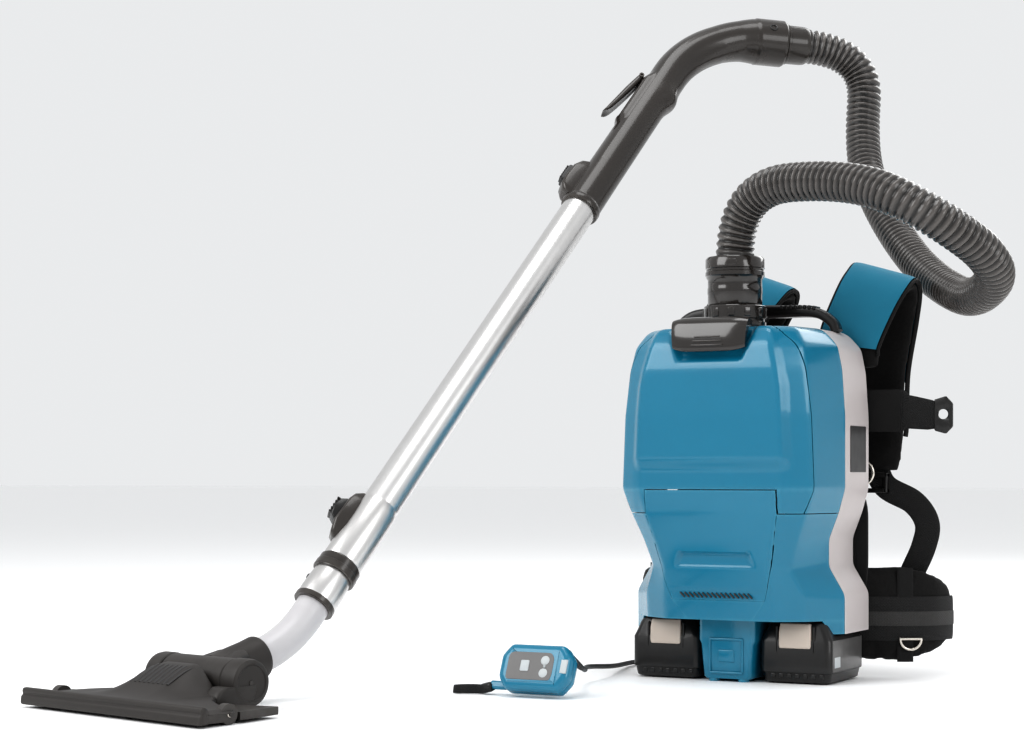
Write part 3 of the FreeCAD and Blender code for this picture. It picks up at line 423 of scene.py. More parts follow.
def plastic(name, colour, shade, rough=0.3, grain=900.0, depth=0.04, coat=0.0, wear=(0.6, 0.6, 0.6),
            wearReach=0.4,
            metal=0.0, coatRough=0.08, spread=0.06, ior=1.5):
    # moulded or painted surface: colour drifts between two tones, grain in the bump, paler rubbed edges
    finish, tree, shader = newFinish(name, Metallic=metal, Coat_Weight=coat, Coat_Roughness=coatRough,
                                     IOR=ior)
    grainNode = useGroup(tree, grainGroup, Scale=grain, Blotch=11.0)
    wearNode = useGroup(tree, wearGroup, Reach=wearReach, Scale=90.0)
    base = mixColour(tree, grainNode.outputs["Cloud"], colour, shade)
    tree.links.new(mixColour(tree, wearNode.outputs["Mask"], base, wear), shader.inputs["Base Color"])
    tree.links.new(math2(tree, "MULTIPLY_ADD", grainNode.outputs["Cloud"], spread, rough - spread / 2),
                   shader.inputs["Roughness"])
    bump = addNode(tree, "ShaderNodeBump", Strength=depth, Distance=0.0004)
    tree.links.new(grainNode.outputs["Height"], bump.inputs["Height"])
    tree.links.new(bump.outputs["Normal"], shader.inputs["Normal"])
    return finish


def woven(name, colour, shade, threads=900.0, depth=0.5, rough=0.85, sheen=0.15):
    # cloth and webbing: weave on the piece's own map
    finish, tree, shader = newFinish(name, Sheen_Weight=sheen, Sheen_Roughness=0.5)
    uv = addNode(tree, "ShaderNodeUVMap", uv_map="map")
    weave = useGroup(tree, weaveGroup, Threads=threads)
    tree.links.new(uv.outputs["UV"], weave.inputs["Vector"])
    tree.links.new(mixColour(tree, weave.outputs["Shade"], shade, colour), shader.inputs["Base Color"])
    tree.links.new(math2(tree, "MULTIPLY_ADD", weave.outputs["Height"], -0.12, rough),
                   shader.inputs["Roughness"])
    bump = addNode(tree, "ShaderNodeBump", Strength=depth, Distance=0.0005)
    tree.links.new(weave.outputs["Height"], bump.inputs["Height"])
    tree.links.new(bump.outputs["Normal"], shader.inputs["Normal"])
    return finish


def padding(name, colour, shade, cells=420.0, depth=0.6, sheen=0.12):
    # padded mesh fabric: open cells on object coordinates
    finish, tree, shader = newFinish(name, Roughness=0.9, Sheen_Weight=sheen, Sheen_Roughness=0.5)
    mesh = useGroup(tree, meshGroup, Scale=cells)
    tree.links.new(mixColour(tree, mesh.outputs["Shade"], shade, colour), shader.inputs["Base Color"])
    bump = addNode(tree, "ShaderNodeBump", Strength=depth, Distance=0.0006)
    tree.links.new(mesh.outputs["Height"], bump.inputs["Height"])
    tree.links.new(bump.outputs["Normal"], shader.inputs["Normal"])
    return finish


tealShell = plastic("tealShell", (0.008, 0.190, 0.300), (0.007, 0.170, 0.272), rough=0.26, grain=1400.0,
                    depth=0.015,
                    coat=0.5, wear=(0.12, 0.42, 0.52), wearReach=0.35, spread=0.04)
paleFrame = plastic("paleFrame", (0.54, 0.50, 0.495), (0.48, 0.445, 0.44), rough=0.42, grain=1100.0,
                    depth=0.05,
                    wear=(0.78, 0.76, 0.75))
smokePlastic = plastic("smokePlastic", (0.026, 0.021, 0.018), (0.018, 0.015, 0.013), rough=0.20, grain=1200.0,
                       depth=0.012, coat=0.9, wear=(0.12, 0.10, 0.09), wearReach=0.25)
blackPlastic = plastic("blackPlastic", (0.010, 0.0095, 0.0095), (0.007, 0.0065, 0.0065), rough=0.36,
                       grain=1000.0,
                       depth=0.05, coat=0.25, wear=(0.09, 0.085, 0.08))
keyPlastic = plastic("keyPlastic", (0.56, 0.49, 0.43), (0.50, 0.435, 0.38), rough=0.45, depth=0.05,
                     wear=(0.7, 0.65, 0.6))
labelFilm = plastic("labelFilm", (0.022, 0.021, 0.021), (0.017, 0.016, 0.016), rough=0.4, grain=1600.0,
                    depth=0.02,
                    wear=(0.15, 0.15, 0.15))
greyLabel = plastic("greyLabel", (0.085, 0.082, 0.080), (0.070, 0.067, 0.066), rough=0.38, grain=1600.0,
                    depth=0.02,
                    coat=0.3, wear=(0.25, 0.25, 0.25))
remoteKeys = plastic("remoteKeys", (0.50, 0.53, 0.54), (0.42, 0.45, 0.46), rough=0.5, depth=0.05)
handlePlastic = plastic("handlePlastic", (0.040, 0.034, 0.030), (0.030, 0.026, 0.023), rough=0.28,
                        grain=1300.0,
                        depth=0.02, coat=0.35, wear=(0.26, 0.23, 0.20), wearReach=0.3)
headPlastic = plastic("headPlastic", (0.040, 0.035, 0.032), (0.031, 0.028, 0.026), rough=0.5, grain=800.0,
                      depth=0.10,
                      wear=(0.17, 0.16, 0.15))
whitePlastic = plastic("whitePlastic", (0.56, 0.55, 0.56), (0.48, 0.47, 0.48), rough=0.38, depth=0.03,
                       wear=(0.8, 0.8, 0.8), coat=0.15)
tubeMetal = plastic("tubeMetal", (0.70, 0.69, 0.68), (0.62, 0.61, 0.60), rough=0.30, grain=500.0, depth=0.02,
                    metal=1.0, wear=(0.85, 0.85, 0.85), spread=0.10)
ringMetal = plastic("ringMetal", (0.72, 0.68, 0.62), (0.62, 0.58, 0.53), rough=0.20, grain=900.0, depth=0.02,
                    metal=1.0, wear=(0.85, 0.82, 0.78))
cableSheath = plastic("cableSheath", (0.030, 0.029, 0.029), (0.022, 0.021, 0.021), rough=0.55, depth=0.06)
bagPaper = plastic("bagPaper", (0.66, 0.60, 0.50), (0.55, 0.49, 0.40), rough=0.85, grain=260.0, depth=0.5)
filterMedia = plastic("filterMedia", (0.78, 0.77, 0.74), (0.68, 0.67, 0.64), rough=0.9, grain=380.0,
                      depth=0.5)
motorCase = plastic("motorCase", (0.10, 0.10, 0.105), (0.07, 0.07, 0.075), rough=0.5, depth=0.1)
bristle = plastic("bristle", (0.020, 0.019, 0.018), (0.012, 0.011, 0.011), rough=0.8, grain=2400.0, depth=0.8)
tealCloth = woven("tealCloth", (0.010, 0.205, 0.310), (0.007, 0.150, 0.235), threads=1100.0, depth=0.35,
                  sheen=0.2)
blackCloth = woven("blackCloth", (0.010, 0.0095, 0.0095), (0.005, 0.0047, 0.0047), threads=1000.0, depth=0.5,
                   sheen=0.05)
webbing = woven("webbing", (0.013, 0.0125, 0.0125), (0.006, 0.006, 0.006), threads=640.0, depth=0.8,
                rough=0.7, sheen=0.05)
greyWebbing = woven("greyWebbing", (0.060, 0.058, 0.057), (0.036, 0.035, 0.034), threads=640.0, depth=0.7)
blackMesh = padding("blackMesh", (0.015, 0.014, 0.0135), (0.006, 0.0056, 0.0054), sheen=0.05)
floorFinish = plastic("floorFinish", (0.97, 0.97, 0.97), (0.955, 0.955, 0.955), rough=0.6, grain=300.0,
                      depth=0.02)


def hosePaintedShadeFinish():      # smoky clear wall; painted shade darkens the grooves and a painted highlight lightens the ridges, told apart by the piece's attribute
    finish, tree, shader = newFinish("clearHose", IOR=1.45, Coat_Weight=0.6, Coat_Roughness=0.15)
    ridge = addNode(tree, "ShaderNodeAttribute", attribute_name="ridge")
    grainNode = useGroup(tree, grainGroup, Scale=700.0, Blotch=30.0)
    shade = math2(tree, "MULTIPLY", ridge.outputs["Fac"],
                  math2(tree, "MULTIPLY_ADD", grainNode.outputs["Cloud"], 0.9, 0.45))
    # painted shade and painted highlight: the dark groove colour is painted shade, the pale ridge colour a painted
    # highlight
    tree.links.new(mixColour(tree, shade, (0.006, 0.005, 0.0045), (0.115, 0.105, 0.098)),
                   shader.inputs["Base Color"])
    tree.links.new(math2(tree, "MULTIPLY_ADD", ridge.outputs["Fac"], -0.16, 0.42), shader.inputs["Roughness"])
    bump = addNode(tree, "ShaderNodeBump", Strength=0.08, Distance=0.0005)
    tree.links.new(grainNode.outputs["Height"], bump.inputs["Height"])
    tree.links.new(bump.outputs["Normal"], shader.inputs["Normal"])
    return finish


clearHose = hosePaintedShadeFinish()
nodeFinish = {
    tealShell: ["rear_housing", "front_cover", "lower_panel", "centre_leg", "remote_front", "remote_rear"],
    paleFrame: ["side_frame"],
    smokePlastic: ["cover_latch", "hose_cuff", "inlet_socket"],
    handlePlastic: ["handle_shell", "suction_flap", "tube_lock_button", "tube_lock_housing",
                    "telescope_slider",
                    "tube_end_ring", "pipe_lock_ring", "hose_ferrule"],
    blackPlastic: ["battery_left", "battery_right", "terminal_block_left", "terminal_block_right",
                   "back_plate",
                   "carry_handle", "chest_buckle", "cable_gland"],
    keyPlastic: ["battery_button_left", "battery_button_right"],
    labelFilm: ["rating_plate"], remoteKeys: ["remote_button_power", "remote_button_mode"],
    clearHose: ["suction_hose"], tubeMetal: ["outer_tube", "inner_tube", "end_stub"],
    whitePlastic: ["bent_pipe"], headPlastic: ["head_sole", "head_deck", "front_lip", "neck_barrel",
                                               "roller_left", "roller_right"],
    bristle: ["front_brush", "rear_brush"], ringMetal: ["d_ring_side", "d_ring_belt"],
    tealCloth: ["shoulder_strap_left", "shoulder_strap_right"],
    blackCloth: ["hip_belt_left", "hip_belt_right", "back_pad", "chest_strap", "remote_strap"],
    cableSheath: ["remote_cable", "cable_tail", "cable_coil"], bagPaper: ["dust_bag"],
    filterMedia: ["hepa_filter"], motorCase: ["motor_housing", "motor_fan"]}
for finish, names in nodeFinish.items():
    for nodeName in names:
        nodes[nodeName].data.materials.clear()
        nodes[nodeName].data.materials.append(finish)
print("finishes done")

floorMesh = bpy.data.meshes.new("floor")
floorMesh.from_pydata([(-30, -30, 0), (30, -30, 0), (30, 30, 0), (-30, 30, 0)], [], [(0, 1, 2, 3)])
floorPiece = bpy.data.objects.new("floor", floorMesh)
bpy.context.scene.collection.objects.link(floorPiece)
floorPiece.data.materials.append(floorFinish)


# ---- suction hose and remote cable ----
def routeLine(name, points, resolution=24):
    # a smooth spline with the route's points as its control points
    data = bpy.data.curves.new(name, "CURVE")
    data.dimensions = "3D"
    data.resolution_u = resolution
    spline = data.splines.new("NURBS")
    spline.points.add(len(points) - 1)
    spline.points.foreach_set("co", [q for p in points for q in (*p, 1.0)])
    spline.order_u = 3
    spline.use_endpoint_u = True
    piece = bpy.data.objects.new(name, data)
    bpy.context.scene.collection.objects.link(piece)
    return piece


def linePoints(piece, step):
    # the spline's own line as evenly spaced points, in millimetres
    mesh = bpy.data.meshes.new_from_object(piece)
    co = np.empty(len(mesh.vertices) * 3)
    mesh.vertices.foreach_get("co", co)
    bpy.data.meshes.remove(mesh)
    co = co.reshape(-1, 3) * 1000.0
    gone = np.concatenate([[0], np.cumsum(np.linalg.norm(np.diff(co, axis=0), axis=1))])
    keep = np.concatenate([[True], np.diff(gone) > 1e-6])
    co, gone = co[keep], gone[keep]
    at = np.linspace(0, gone[-1], int(gone[-1] / step) + 1)
    return np.stack([np.interp(at, gone, co[:, k]) for k in range(3)], 1), at


hoseLook = {"diameter": 40.0, "pitch": 7.4, "groove": 2.6, "step": 0.93, "count": 44}
hosePoints = [
    (-0.0445, 0.3278, 0.7168), (0.0152, 0.3746, 0.7123), (0.0140, 0.3520, 0.5920), (0.0500, 0.3020, 0.5240),
    (0.1060, 0.2460, 0.4560), (0.1620, 0.1780, 0.4140), (0.2220, 0.1040, 0.3880), (0.2740, 0.0200, 0.4160),
    (0.2160, -0.0660, 0.4680), (0.1340, -0.0440, 0.5040), (0.0000, -0.0060, 0.5070),
              (0.0000, -0.0060, 0.4350)]


def buildHose():
    # tube wall round the route; its radius rises and falls on a helix, ridge = a soft-topped wave of the turn
    line = routeLine("hoseLine", list(reversed(hosePoints)))
    points, gone = linePoints(line, hoseLook["step"])
    bpy.data.objects.remove(line)
    angle = np.linspace(0, 2 * np.pi, hoseLook["count"], endpoint=False)
    phase = gone[:, None] / hoseLook["pitch"] + angle / (2 * np.pi)
    ridge = (0.5 + 0.5 * np.cos(2 * np.pi * phase)) ** 0.8
    fade = np.clip(np.minimum(gone, gone[-1] - gone) / 6.0, 0, 1)[:, None]
    radius = hoseLook["diameter"] / 2 - hoseLook["groove"] * (1 - ridge) * fade
    _, side, other = alongPath(points)
    wall = points[:, None] + (radius * np.cos(angle))[..., None] * side[:, None] \
        + (radius * np.sin(angle))[..., None] * other[:, None]
    piece = makePiece("hoseWall", gridPatch(wall, wrapV=True, capStart=True, capEnd=True), "hose_line",
                      clearHose,
                      "suction_hose", sharp=80.0, merge=1e-7)
    # the ridge level is stored for the finish, which paints shade in the grooves and a highlight on the ridges
    level = piece.data.attributes.new("ridge", "FLOAT", "POINT")
    co = np.empty(len(piece.data.vertices) * 3)
    piece.data.vertices.foreach_get("co", co)
    values = (ridge * fade + (1 - fade) * 0.3).ravel()
    level.data.foreach_set("value", values[:len(piece.data.vertices)])
    print("hose", round(gone[-1], 1), "mm")
    return piece


buildHose()

cablePoints = [
    (-0.0740, -0.2344, 0.0351), (-0.0740, -0.2060, 0.0224), (-0.0980, -0.1580, 0.0200),
               (-0.1190, -0.1080, 0.0170),
    (-0.1220, -0.0480, 0.0120), (-0.1480, 0.0300, 0.0060), (-0.1640, 0.0980, 0.0034),
               (-0.1480, 0.1460, 0.0040), (-0.1120, 0.1500, 0.0060),
    (-0.0880, 0.1560, 0.0070)]
coilTurns = {"x": -0.052, "y": 0.150, "perTurn": 15, "start": 150.0,
             "stops": (0, 0.85, 1.15, 1.85, 2.15, 2.85, 3.15, 4),
             "rings": ((0.0262, 0.0052), (0.0210, 0.0052), (0.0212, 0.0103), (0.0262, 0.0105))}
tailPoints = [(-0.0420, 0.1150, 0.0100), (-0.0505, 0.1050, 0.0096), (-0.0510, 0.0970, 0.0096),
              (-0.0510, 0.0890, 0.0096)]


def buildCable():
    # remote to coil, three turns and a half side by side and one above another, tail to the pack's gland
    turns = []
    total = coilTurns["perTurn"] * 3 + 8
    for k in range(total + 1):
        part = k / coilTurns["perTurn"]
        r, z = (np.interp(part, coilTurns["stops"],
                          [ring[q] for ring in coilTurns["rings"] for _ in range(2)])
                for q in (0, 1))
        a = math.radians(coilTurns["start"] - part * 360.0)
        turns.append((coilTurns["x"] + r * math.cos(a), coilTurns["y"] + r * math.sin(a), z))
    piece = routeLine("remoteCable", list(reversed(cablePoints + turns + tailPoints)), 12)
    piece.data.bevel_depth = 0.0025
    piece.data.bevel_resolution = 5
    piece.data.use_fill_caps = True
    piece.data.materials.append(cableSheath)
    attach(piece, "pack")
    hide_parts("remote_cable", "cable_coil", "cable_tail")
    return piece


buildCable()
print("cords done")


# ---- pack shell ----
shellLook = {"rowStep": 2.4, "soften": 2, "topRound": 7.0, "wall": 2.4, "gap": 0.7, "front": 64.0}


def buildShellTable():
    # section polylines between the set heights, then corners and bends eased by averaging neighbours
    z0, z1 = bodySections[0, 0], bodySections[-1, 0]
    z = np.linspace(z0, z1, int((z1 - z0) / shellLook["rowStep"]) + 1)
    yf, f, c, b = (np.interp(z, bodySections[:, 0], bodySections[:, k]) for k in (1, 2, 3, 4))
    zero, ones = np.zeros_like(z), np.ones_like(z)
    px = np.stack([-zero, f, c, b, b], 1)
    py = np.stack([yf, yf, yf + 18.0, bandY * ones, rearY * ones], 1)
    parts = np.array([0.0, 0.34, 0.46, 0.72, 1.0])      # shares of the half section given to each run
    s = np.linspace(0, 1, 101)
    x = np.array([np.interp(s, parts, row) for row in px])
    y = np.array([np.interp(s, parts, row) for row in py])
    for _ in range(shellLook["soften"]):
        for a in (x, y):
            a[:, 1:-1] = (a[:, :-2] + 2 * a[:, 1:-1] + a[:, 2:]) / 4
            a[1:-1] = (a[:-2] + 2 * a[1:-1] + a[2:]) / 4
    x[:, 0] = 0.0
    return z, s, x, y


shellZ, shellS, shellX, shellY = buildShellTable()


def shellPoint(z, s, relief=None):
    # the eased section read at height z and share s, negative s on the left half; drawn in over the top edge
    top, r = shellZ[-1], shellLook["topRound"]
    zc = np.clip(z, shellZ[0], top)
    fz = (zc - shellZ[0]) / (top - shellZ[0]) * (len(shellZ) - 1)
    fs = np.abs(s) * (len(shellS) - 1)
    i, j = np.clip(fz.astype(int), 0, len(shellZ) - 2), np.clip(fs.astype(int), 0, len(shellS) - 2)
    a, b = fz - i, fs - j
    read = lambda t: (t[i, j] * (1 - a) * (1 - b) + t[i + 1, j] * a * (1 - b)
                      + t[i, j + 1] * (1 - a) * b + t[i + 1, j + 1] * a * b)
    x, y = read(shellX) * np.sign(s + 1e-12), read(shellY)
    lift = np.clip(zc - (top - r), 0, r)
    draw = r - np.sqrt(np.maximum(r * r - lift * lift, 0))
    length = np.maximum(np.hypot(x, y - 10), 1.0)
    x, y = x * (1 - draw / length), (y - 10) * (1 - draw / length) + 10
    pts = np.stack([x, y, zc], -1)
    if relief is not None:
        pts = pts + relief(x, zc)[..., None] * unit(np.stack([x * 0.25, np.full_like(x, -60.0),
                                                              np.zeros_like(x)], -1))
    return pts


def shareAt(z, x=None, y=None):
    # share of the half section where it crosses a given x on the front, or a given y on the side
    rows = np.clip(((np.asarray(z) - shellZ[0]) / (shellZ[-1] - shellZ[0]) * (len(shellZ) - 1)).round().astype(int),
                   0, len(shellZ) - 1)
    x, y = (None if q is None else np.broadcast_to(q, rows.shape) for q in (x, y))
    if x is not None:
        return np.array([np.interp(a, shellX[r, :60], shellS[:60]) for a, r in zip(x, rows)])
    return np.array([np.interp(a, shellY[r], shellS) for a, r in zip(y, rows)])


def smoothStep(a, b, t):
    t = np.clip((t - a) / (b - a), 0, 1)
    return t * t * (3 - 2 * t)


def coverRelief(x, z):
    # raised middle with eased flanks, a ledge across at its foot, and a sunk tray under the latch
    wide = np.interp(z, (190, 232, 300, 345), (84, 82, 78, 66))
    flank = 1 - smoothStep(wide - 7, wide + 5, np.abs(x))
    high = smoothStep(214, 229, z)
    tray = (1 - smoothStep(30, 36, np.abs(x) - (z - 326) * 0.35)) * smoothStep(324, 330, z)
    rise = 3.2 * flank * high - 1.2 * (1 - high) * flank
    return rise * (1 - tray) - 2.6 * tray


def panelRelief(x, z):
    # finger ledge: a sunk trough with a slanted floor, and a faint step above the vents
    grip = (1 - smoothStep(36, 42,
                           np.abs(x) + (z - 128) * 0.4)) * smoothStep(117, 120, z) * (1 - smoothStep(131, 134, z))
    tilt = np.interp(z, (117, 134), (0.2, 1.0))
    return -5.5 * grip * tilt - 0.6 * (1 - smoothStep(92, 97, z))


def shellPatch(z, left, right, count, relief=None, wall=None):
    # rows at heights z, each row running from its left share to its right share; the wall is turned in
    s = left[:, None] + (right - left)[:, None] * np.linspace(0, 1, count)
    zz = np.repeat(z[:, None], count, 1)
    front = shellPoint(zz, s, relief)
    centre = np.array([0.0, 20.0, 200.0])
    inward = unit((centre - front) * (1, 1, 0.35))
    return wallPatch(front, front + inward * (wall or shellLook["wall"]))


def rowsBetween(a, b, step=2.4):
    return np.linspace(a, b, max(int(abs(b - a) / step), 3))


def buildShell():
    g = shellLook["gap"]
    # opening cover: from its lower lobes to the top edge
    z = np.concatenate([rowsBetween(196.6, 352), 353 + 7 * np.sin(np.linspace(0, 1, 9) * np.pi / 2)])
    edge = shareAt(z, y=np.full(len(z), coverY - g))
    cover = [shellPatch(z, -edge, edge, 150, coverRelief)]
    zl = rowsBetween(coverLow + 0.8, 196.6)
    inner, outer = shareAt(zl, x=np.full(len(zl), 72.2)), shareAt(zl, y=np.full(len(zl), coverY - g))
    outer = np.maximum(outer, inner + 0.02)
    cover += [shellPatch(zl, inner, outer, 20, coverRelief), shellPatch(zl, -outer, -inner, 20, coverRelief)]
    makePiece("coverSkin", cover, "cover", tealShell, "front_cover", sharp=50)
    # lower panel with the finger ledge and slanted vents
    zp = rowsBetween(84.5, 195.8, 2.0)
    half = np.interp(zp, (84, 100, 171, 196), (50.0, 55.0, 70.6, 70.6))
    edge = shareAt(zp, x=half)
    panel = makePiece("panelSkin", shellPatch(zp, -edge, edge, 90, panelRelief), "pack", tealShell,
                      "lower_panel",
                      sharp=50)
    vents = []
    for k in range(16):
        x = -38.0 + k * 4.9
        y = np.interp(89.0, bodySections[:, 0], bodySections[:, 1]) - 0.75
        vents.append(loftPatch(frameOf((x, y, 89.4), (1, 0, -1.0), (0, -1, 0.0)), (-0.6, 0.5), 3.6, 0.75, 0.7,
                               k=3))
    makePiece("ventSlots", vents, "pack", labelFilm)
    # housing: a ring from the cover seam round to the white frame, the whole front below the cover, and the top
    zh = np.concatenate([rowsBetween(coverLow + 0.8, 352),
                         353 + 7 * np.sin(np.linspace(0, 1, 9) * np.pi / 2)])
    seam, band = shareAt(zh, y=np.full(len(zh), coverY + 0.2)), shareAt(zh, y=np.full(len(zh), bandY - 0.35))
    band = np.maximum(band, seam + 0.05)
    housing = [shellPatch(zh, seam, band, 34), shellPatch(zh, -band, -seam, 34)]
    zf = rowsBetween(shellLook["front"], coverLow)
    band = shareAt(zf, y=np.full(len(zf), bandY - 0.35))
    side = shareAt(zf, x=np.interp(zf, (64, 84, 100, 171, 196), (35.0, 50.6, 55.6, 71.2, 71.2)))
    housing += [shellPatch(zf, side, band, 70), shellPatch(zf, -band, -side, 70)]
    zc = rowsBetween(shellLook["front"], 84.2)
    mid = shareAt(zc, x=np.interp(zc, (64, 84.2), (35.0, 50.6)))
    housing.append(shellPatch(zc, -mid, mid, 50))
    zk = rowsBetween(50.5, shellLook["front"])      # skirts either side of the battery bays
    band, edge = shareAt(zk, y=np.full(len(zk), bandY - 0.35)), shareAt(zk, y=np.linspace(-7, -16, len(zk)))
    housing += [shellPatch(zk, edge, band, 14), shellPatch(zk, -band, -edge, 14)]
    housing.append(loftPatch(worldFrame, (203, 205), 96, 40, 14, dy=-10))
    housing += topDeck(-59.0, bandY)
    makePiece("housingSkin", housing, "pack", tealShell, "rear_housing", sharp=50)
    # pale frame behind the teal, to the back plate
    zw = np.concatenate([rowsBetween(50.5, 352), 353 + 7 * np.sin(np.linspace(0, 1, 9) * np.pi / 2)])
    band = shareAt(zw, y=np.full(len(zw), bandY + 0.35))
    rim = np.ones(len(zw))
    frameSkin = [shellPatch(zw, band, rim, 40), shellPatch(zw, -rim, -band, 40)] + topDeck(bandY + 0.4, rearY)
    frameSkin.append(loftPatch(worldFrame, (64.5, 67), 96, 33, 3, dy=43))
    makePiece("frameSkin", frameSkin, "pack", paleFrame, "side_frame", sharp=50)
    return panel


def topDeck(y0, y1):
    # the crowned top between two y lines, inside the rounded rim
    y = np.linspace(y0, y1, 24)
    rim = shellPoint(np.full(60, 360.0), np.linspace(0, 1, 60))
    half = np.interp(y, np.maximum.accumulate(rim[:, 1]), rim[:, 0])
    x = half[:, None] * np.linspace(-1, 1, 40)
    top = np.stack([x, np.repeat(y[:, None], 40, 1), np.full_like(x, 360.0)], 2)
    return [wallPatch(top, top - (0, 0, 2.4))]


buildShell()
print("shell done")

# ---- latch, inlet socket and hose cuff ----
latchLook = {"half": 39.0, "ribs": 3}


def buildLatch():
    # a side profile of the clip carried across its width, narrower and thinner towards its ends
    outline = np.array([(-56.5, 361.6), (-56.0, 366.6), (-62, 369.3), (-70, 369.6), (-77, 364.5),
                        (-80.6, 352),
                        (-81.4, 341), (-80.8, 335.6), (-77.6, 334.8), (-76.2, 342), (-72.5, 353.5),
                        (-66.5, 361.4)])
    ring = smoothLine(np.vstack([outline, outline[:1]]), 49)[:-1]
    t = np.linspace(-1, 1, 41)
    squeeze = 1 - 0.34 * np.abs(t) ** 5
    mid = ring.mean(0)
    wide = latchLook["half"] * (1 + 0.05 * (ring[:, 1] - 335) / 34.0)
    pts = np.stack([t[:, None] * wide, mid[0] + (ring[:, 0] - mid[0]) * squeeze[:, None],
                    mid[1] + (ring[:, 1] - mid[1]) * squeeze[:, None] ** 0.5], 2)
    patches = [gridPatch(pts, wrapV=True, capStart=True, capEnd=True)]
    for k in range(latchLook["ribs"]):
        z = 340.0 + k * 4.2
        patches.append(blockPatch(-17 + k * 1.5, 17 - k * 1.5, -83.0 + k * 0.6, -80.0, z, z + 1.7, 0.6))
    makePiece("latchClip", patches, "latch", smokePlastic, "cover_latch", sharp=45)


def buildInlet():
    place = frameOf((0, inletY, 0), (1, 0, 0), (0, 0, 1))
    socket = turnedPatch([(25.0, 352), (27.6, 352), (27.6, 360.1), (31.6, 360.1), (32.0, 361), (32.0, 367.5),
                          (30.6, 368.3),
                          (30.6, 370.5), (32.0, 371.3), (32.0, 383.8), (31.4, 384.5), (24.6, 384.5)], place,
                         72)
    lugs = [blockPatch(29.5, 33.0, -3.2, 3.2, 372.5, 382.0, 0.8,
                       place=frameOf((0, inletY, 0), (math.cos(a), math.sin(a), 0), (0, 0, 1)))
            for a in np.radians(np.arange(12) * 30.0 + 15.0)]
    makePiece("inletSocket", [socket] + lugs, "pack", smokePlastic, "inlet_socket", sharp=40)
    cuff = turnedPatch([(17.0, 361), (23.9, 361), (23.9, 385.3), (27.2, 385.3), (28.0, 386.4), (28.0, 396),
                        (28.4, 397.5),
                        (28.4, 402.5), (28.0, 404), (28.0, 411.5), (29.2, 413), (29.6, 414.6), (30.5, 415.4),
                        (30.5, 419.3), (29.7, 420), (29.7, 422.4), (30.5, 423.1), (30.5, 432.4),
                        (28.6, 434.8),
                        (24.0, 434.9), (22.6, 433.2), (21.6, 420), (17.0, 419)], place, 80)
    tabs = [blockPatch(27.0, 30.8, -5.5, 5.5, 424.2, 431.2, 1.2,
                       place=frameOf((0, inletY, 0), (math.cos(a), math.sin(a), 0), (0, 0, 1)))
            for a in np.radians((-75.0, 45.0, 165.0))]
    makePiece("hoseCuff", [cuff] + tabs, "hose_line", smokePlastic, "hose_cuff", sharp=40)


buildLatch()
buildInlet()

# ---- battery packs, their buttons, the leg between them ----
batteryLook = {"width": 77.0, "length": 100.0, "bottom": 1.6, "top": 62.0, "front": -22.0, "x": 71.0}


def buildBattery(side, word):
    w, front, z0, z1 = batteryLook["width"] / 2, batteryLook["front"], batteryLook["bottom"], batteryLook["top"]
    back = front + batteryLook["length"]
    cx, body = side * batteryLook["x"], "battery_" + word
    mid = (front + back) / 2
    place = frameOf((cx, mid, 0), (1, 0, 0), (0, 0, 1))
    deep = batteryLook["length"] / 2
    z = np.array([z0, z0 + 1.2, z0 + 5, z0 + 9.5, z0 + 10.5, z0 + 41, z0 + 44, z1 - 3, z1])
    half = np.array([w - 5, w - 3.4, w - 2.6, w - 1.8, w, w, w - 1.2, w - 7.2, w - 9.5])
    long = np.array([deep - 3.6, deep - 2.2, deep - 1.6, deep - 1.0, deep - 0.2, deep - 0.2, deep - 1.6,
                     deep - 3.4, deep - 5])
    case = [loftPatch(place, z, half, long, 8.0, k=7)]
    for k in range(7):      # dimple row along the front foot
        x = cx - 26 + k * 8.6
        case.append(blockPatch(x, x + 4.6, front + 0.6, front + 3, z0 + 4.0, z0 + 9.0, 0.9))
    for k in (-1, 1):       # rails beside the button
        case.append(blockPatch(cx + k * 19.6 - 1.3, cx + k * 19.6 + 1.3, front + 0.2, front + 7, z0 + 30,
                               z1 - 3.4, 1.0))
    makePiece("batteryCase" + word.capitalize(), case, body, blackPlastic, body, sharp=38)
    bz0, bz1 = z1 - 26.0, z1 - 0.6
    button = loftPatch(frameOf((cx, front + 1.9, 0), (1, 0, 0), (0, 0, 1)), (bz0, bz0 + 3, bz0 + 17, bz1),
                       (16.2, 17, 17, 16.2), (3.1, 3.3, 3.1, 2.0), 1.4, dy=(0, 0, 0.1, 1.3), edge=1.2)
    makePiece("batteryKey" + word.capitalize(), button, "battery_key_" + word, keyPlastic,
              "battery_button_" + word,
              sharp=35)
    if side > 0:            # plain grey label on the outer side and round the corner
        label = blockPatch(cx + w - 0.9, cx + w + 0.25, front + 5, back - 6, z0 + 11.5, z0 + 43, 0.4)
        corner = blockPatch(cx + w - 1.0, cx + w + 0.35, front + 9.6, front + 27, z0 + 15, z0 + 26, 0.4)
        makePiece("batteryLabel", label, body, greyLabel)
        makePiece("batteryLabelPatch", corner, body, remoteKeys)


buildBattery(-1, "left")
buildBattery(1, "right")


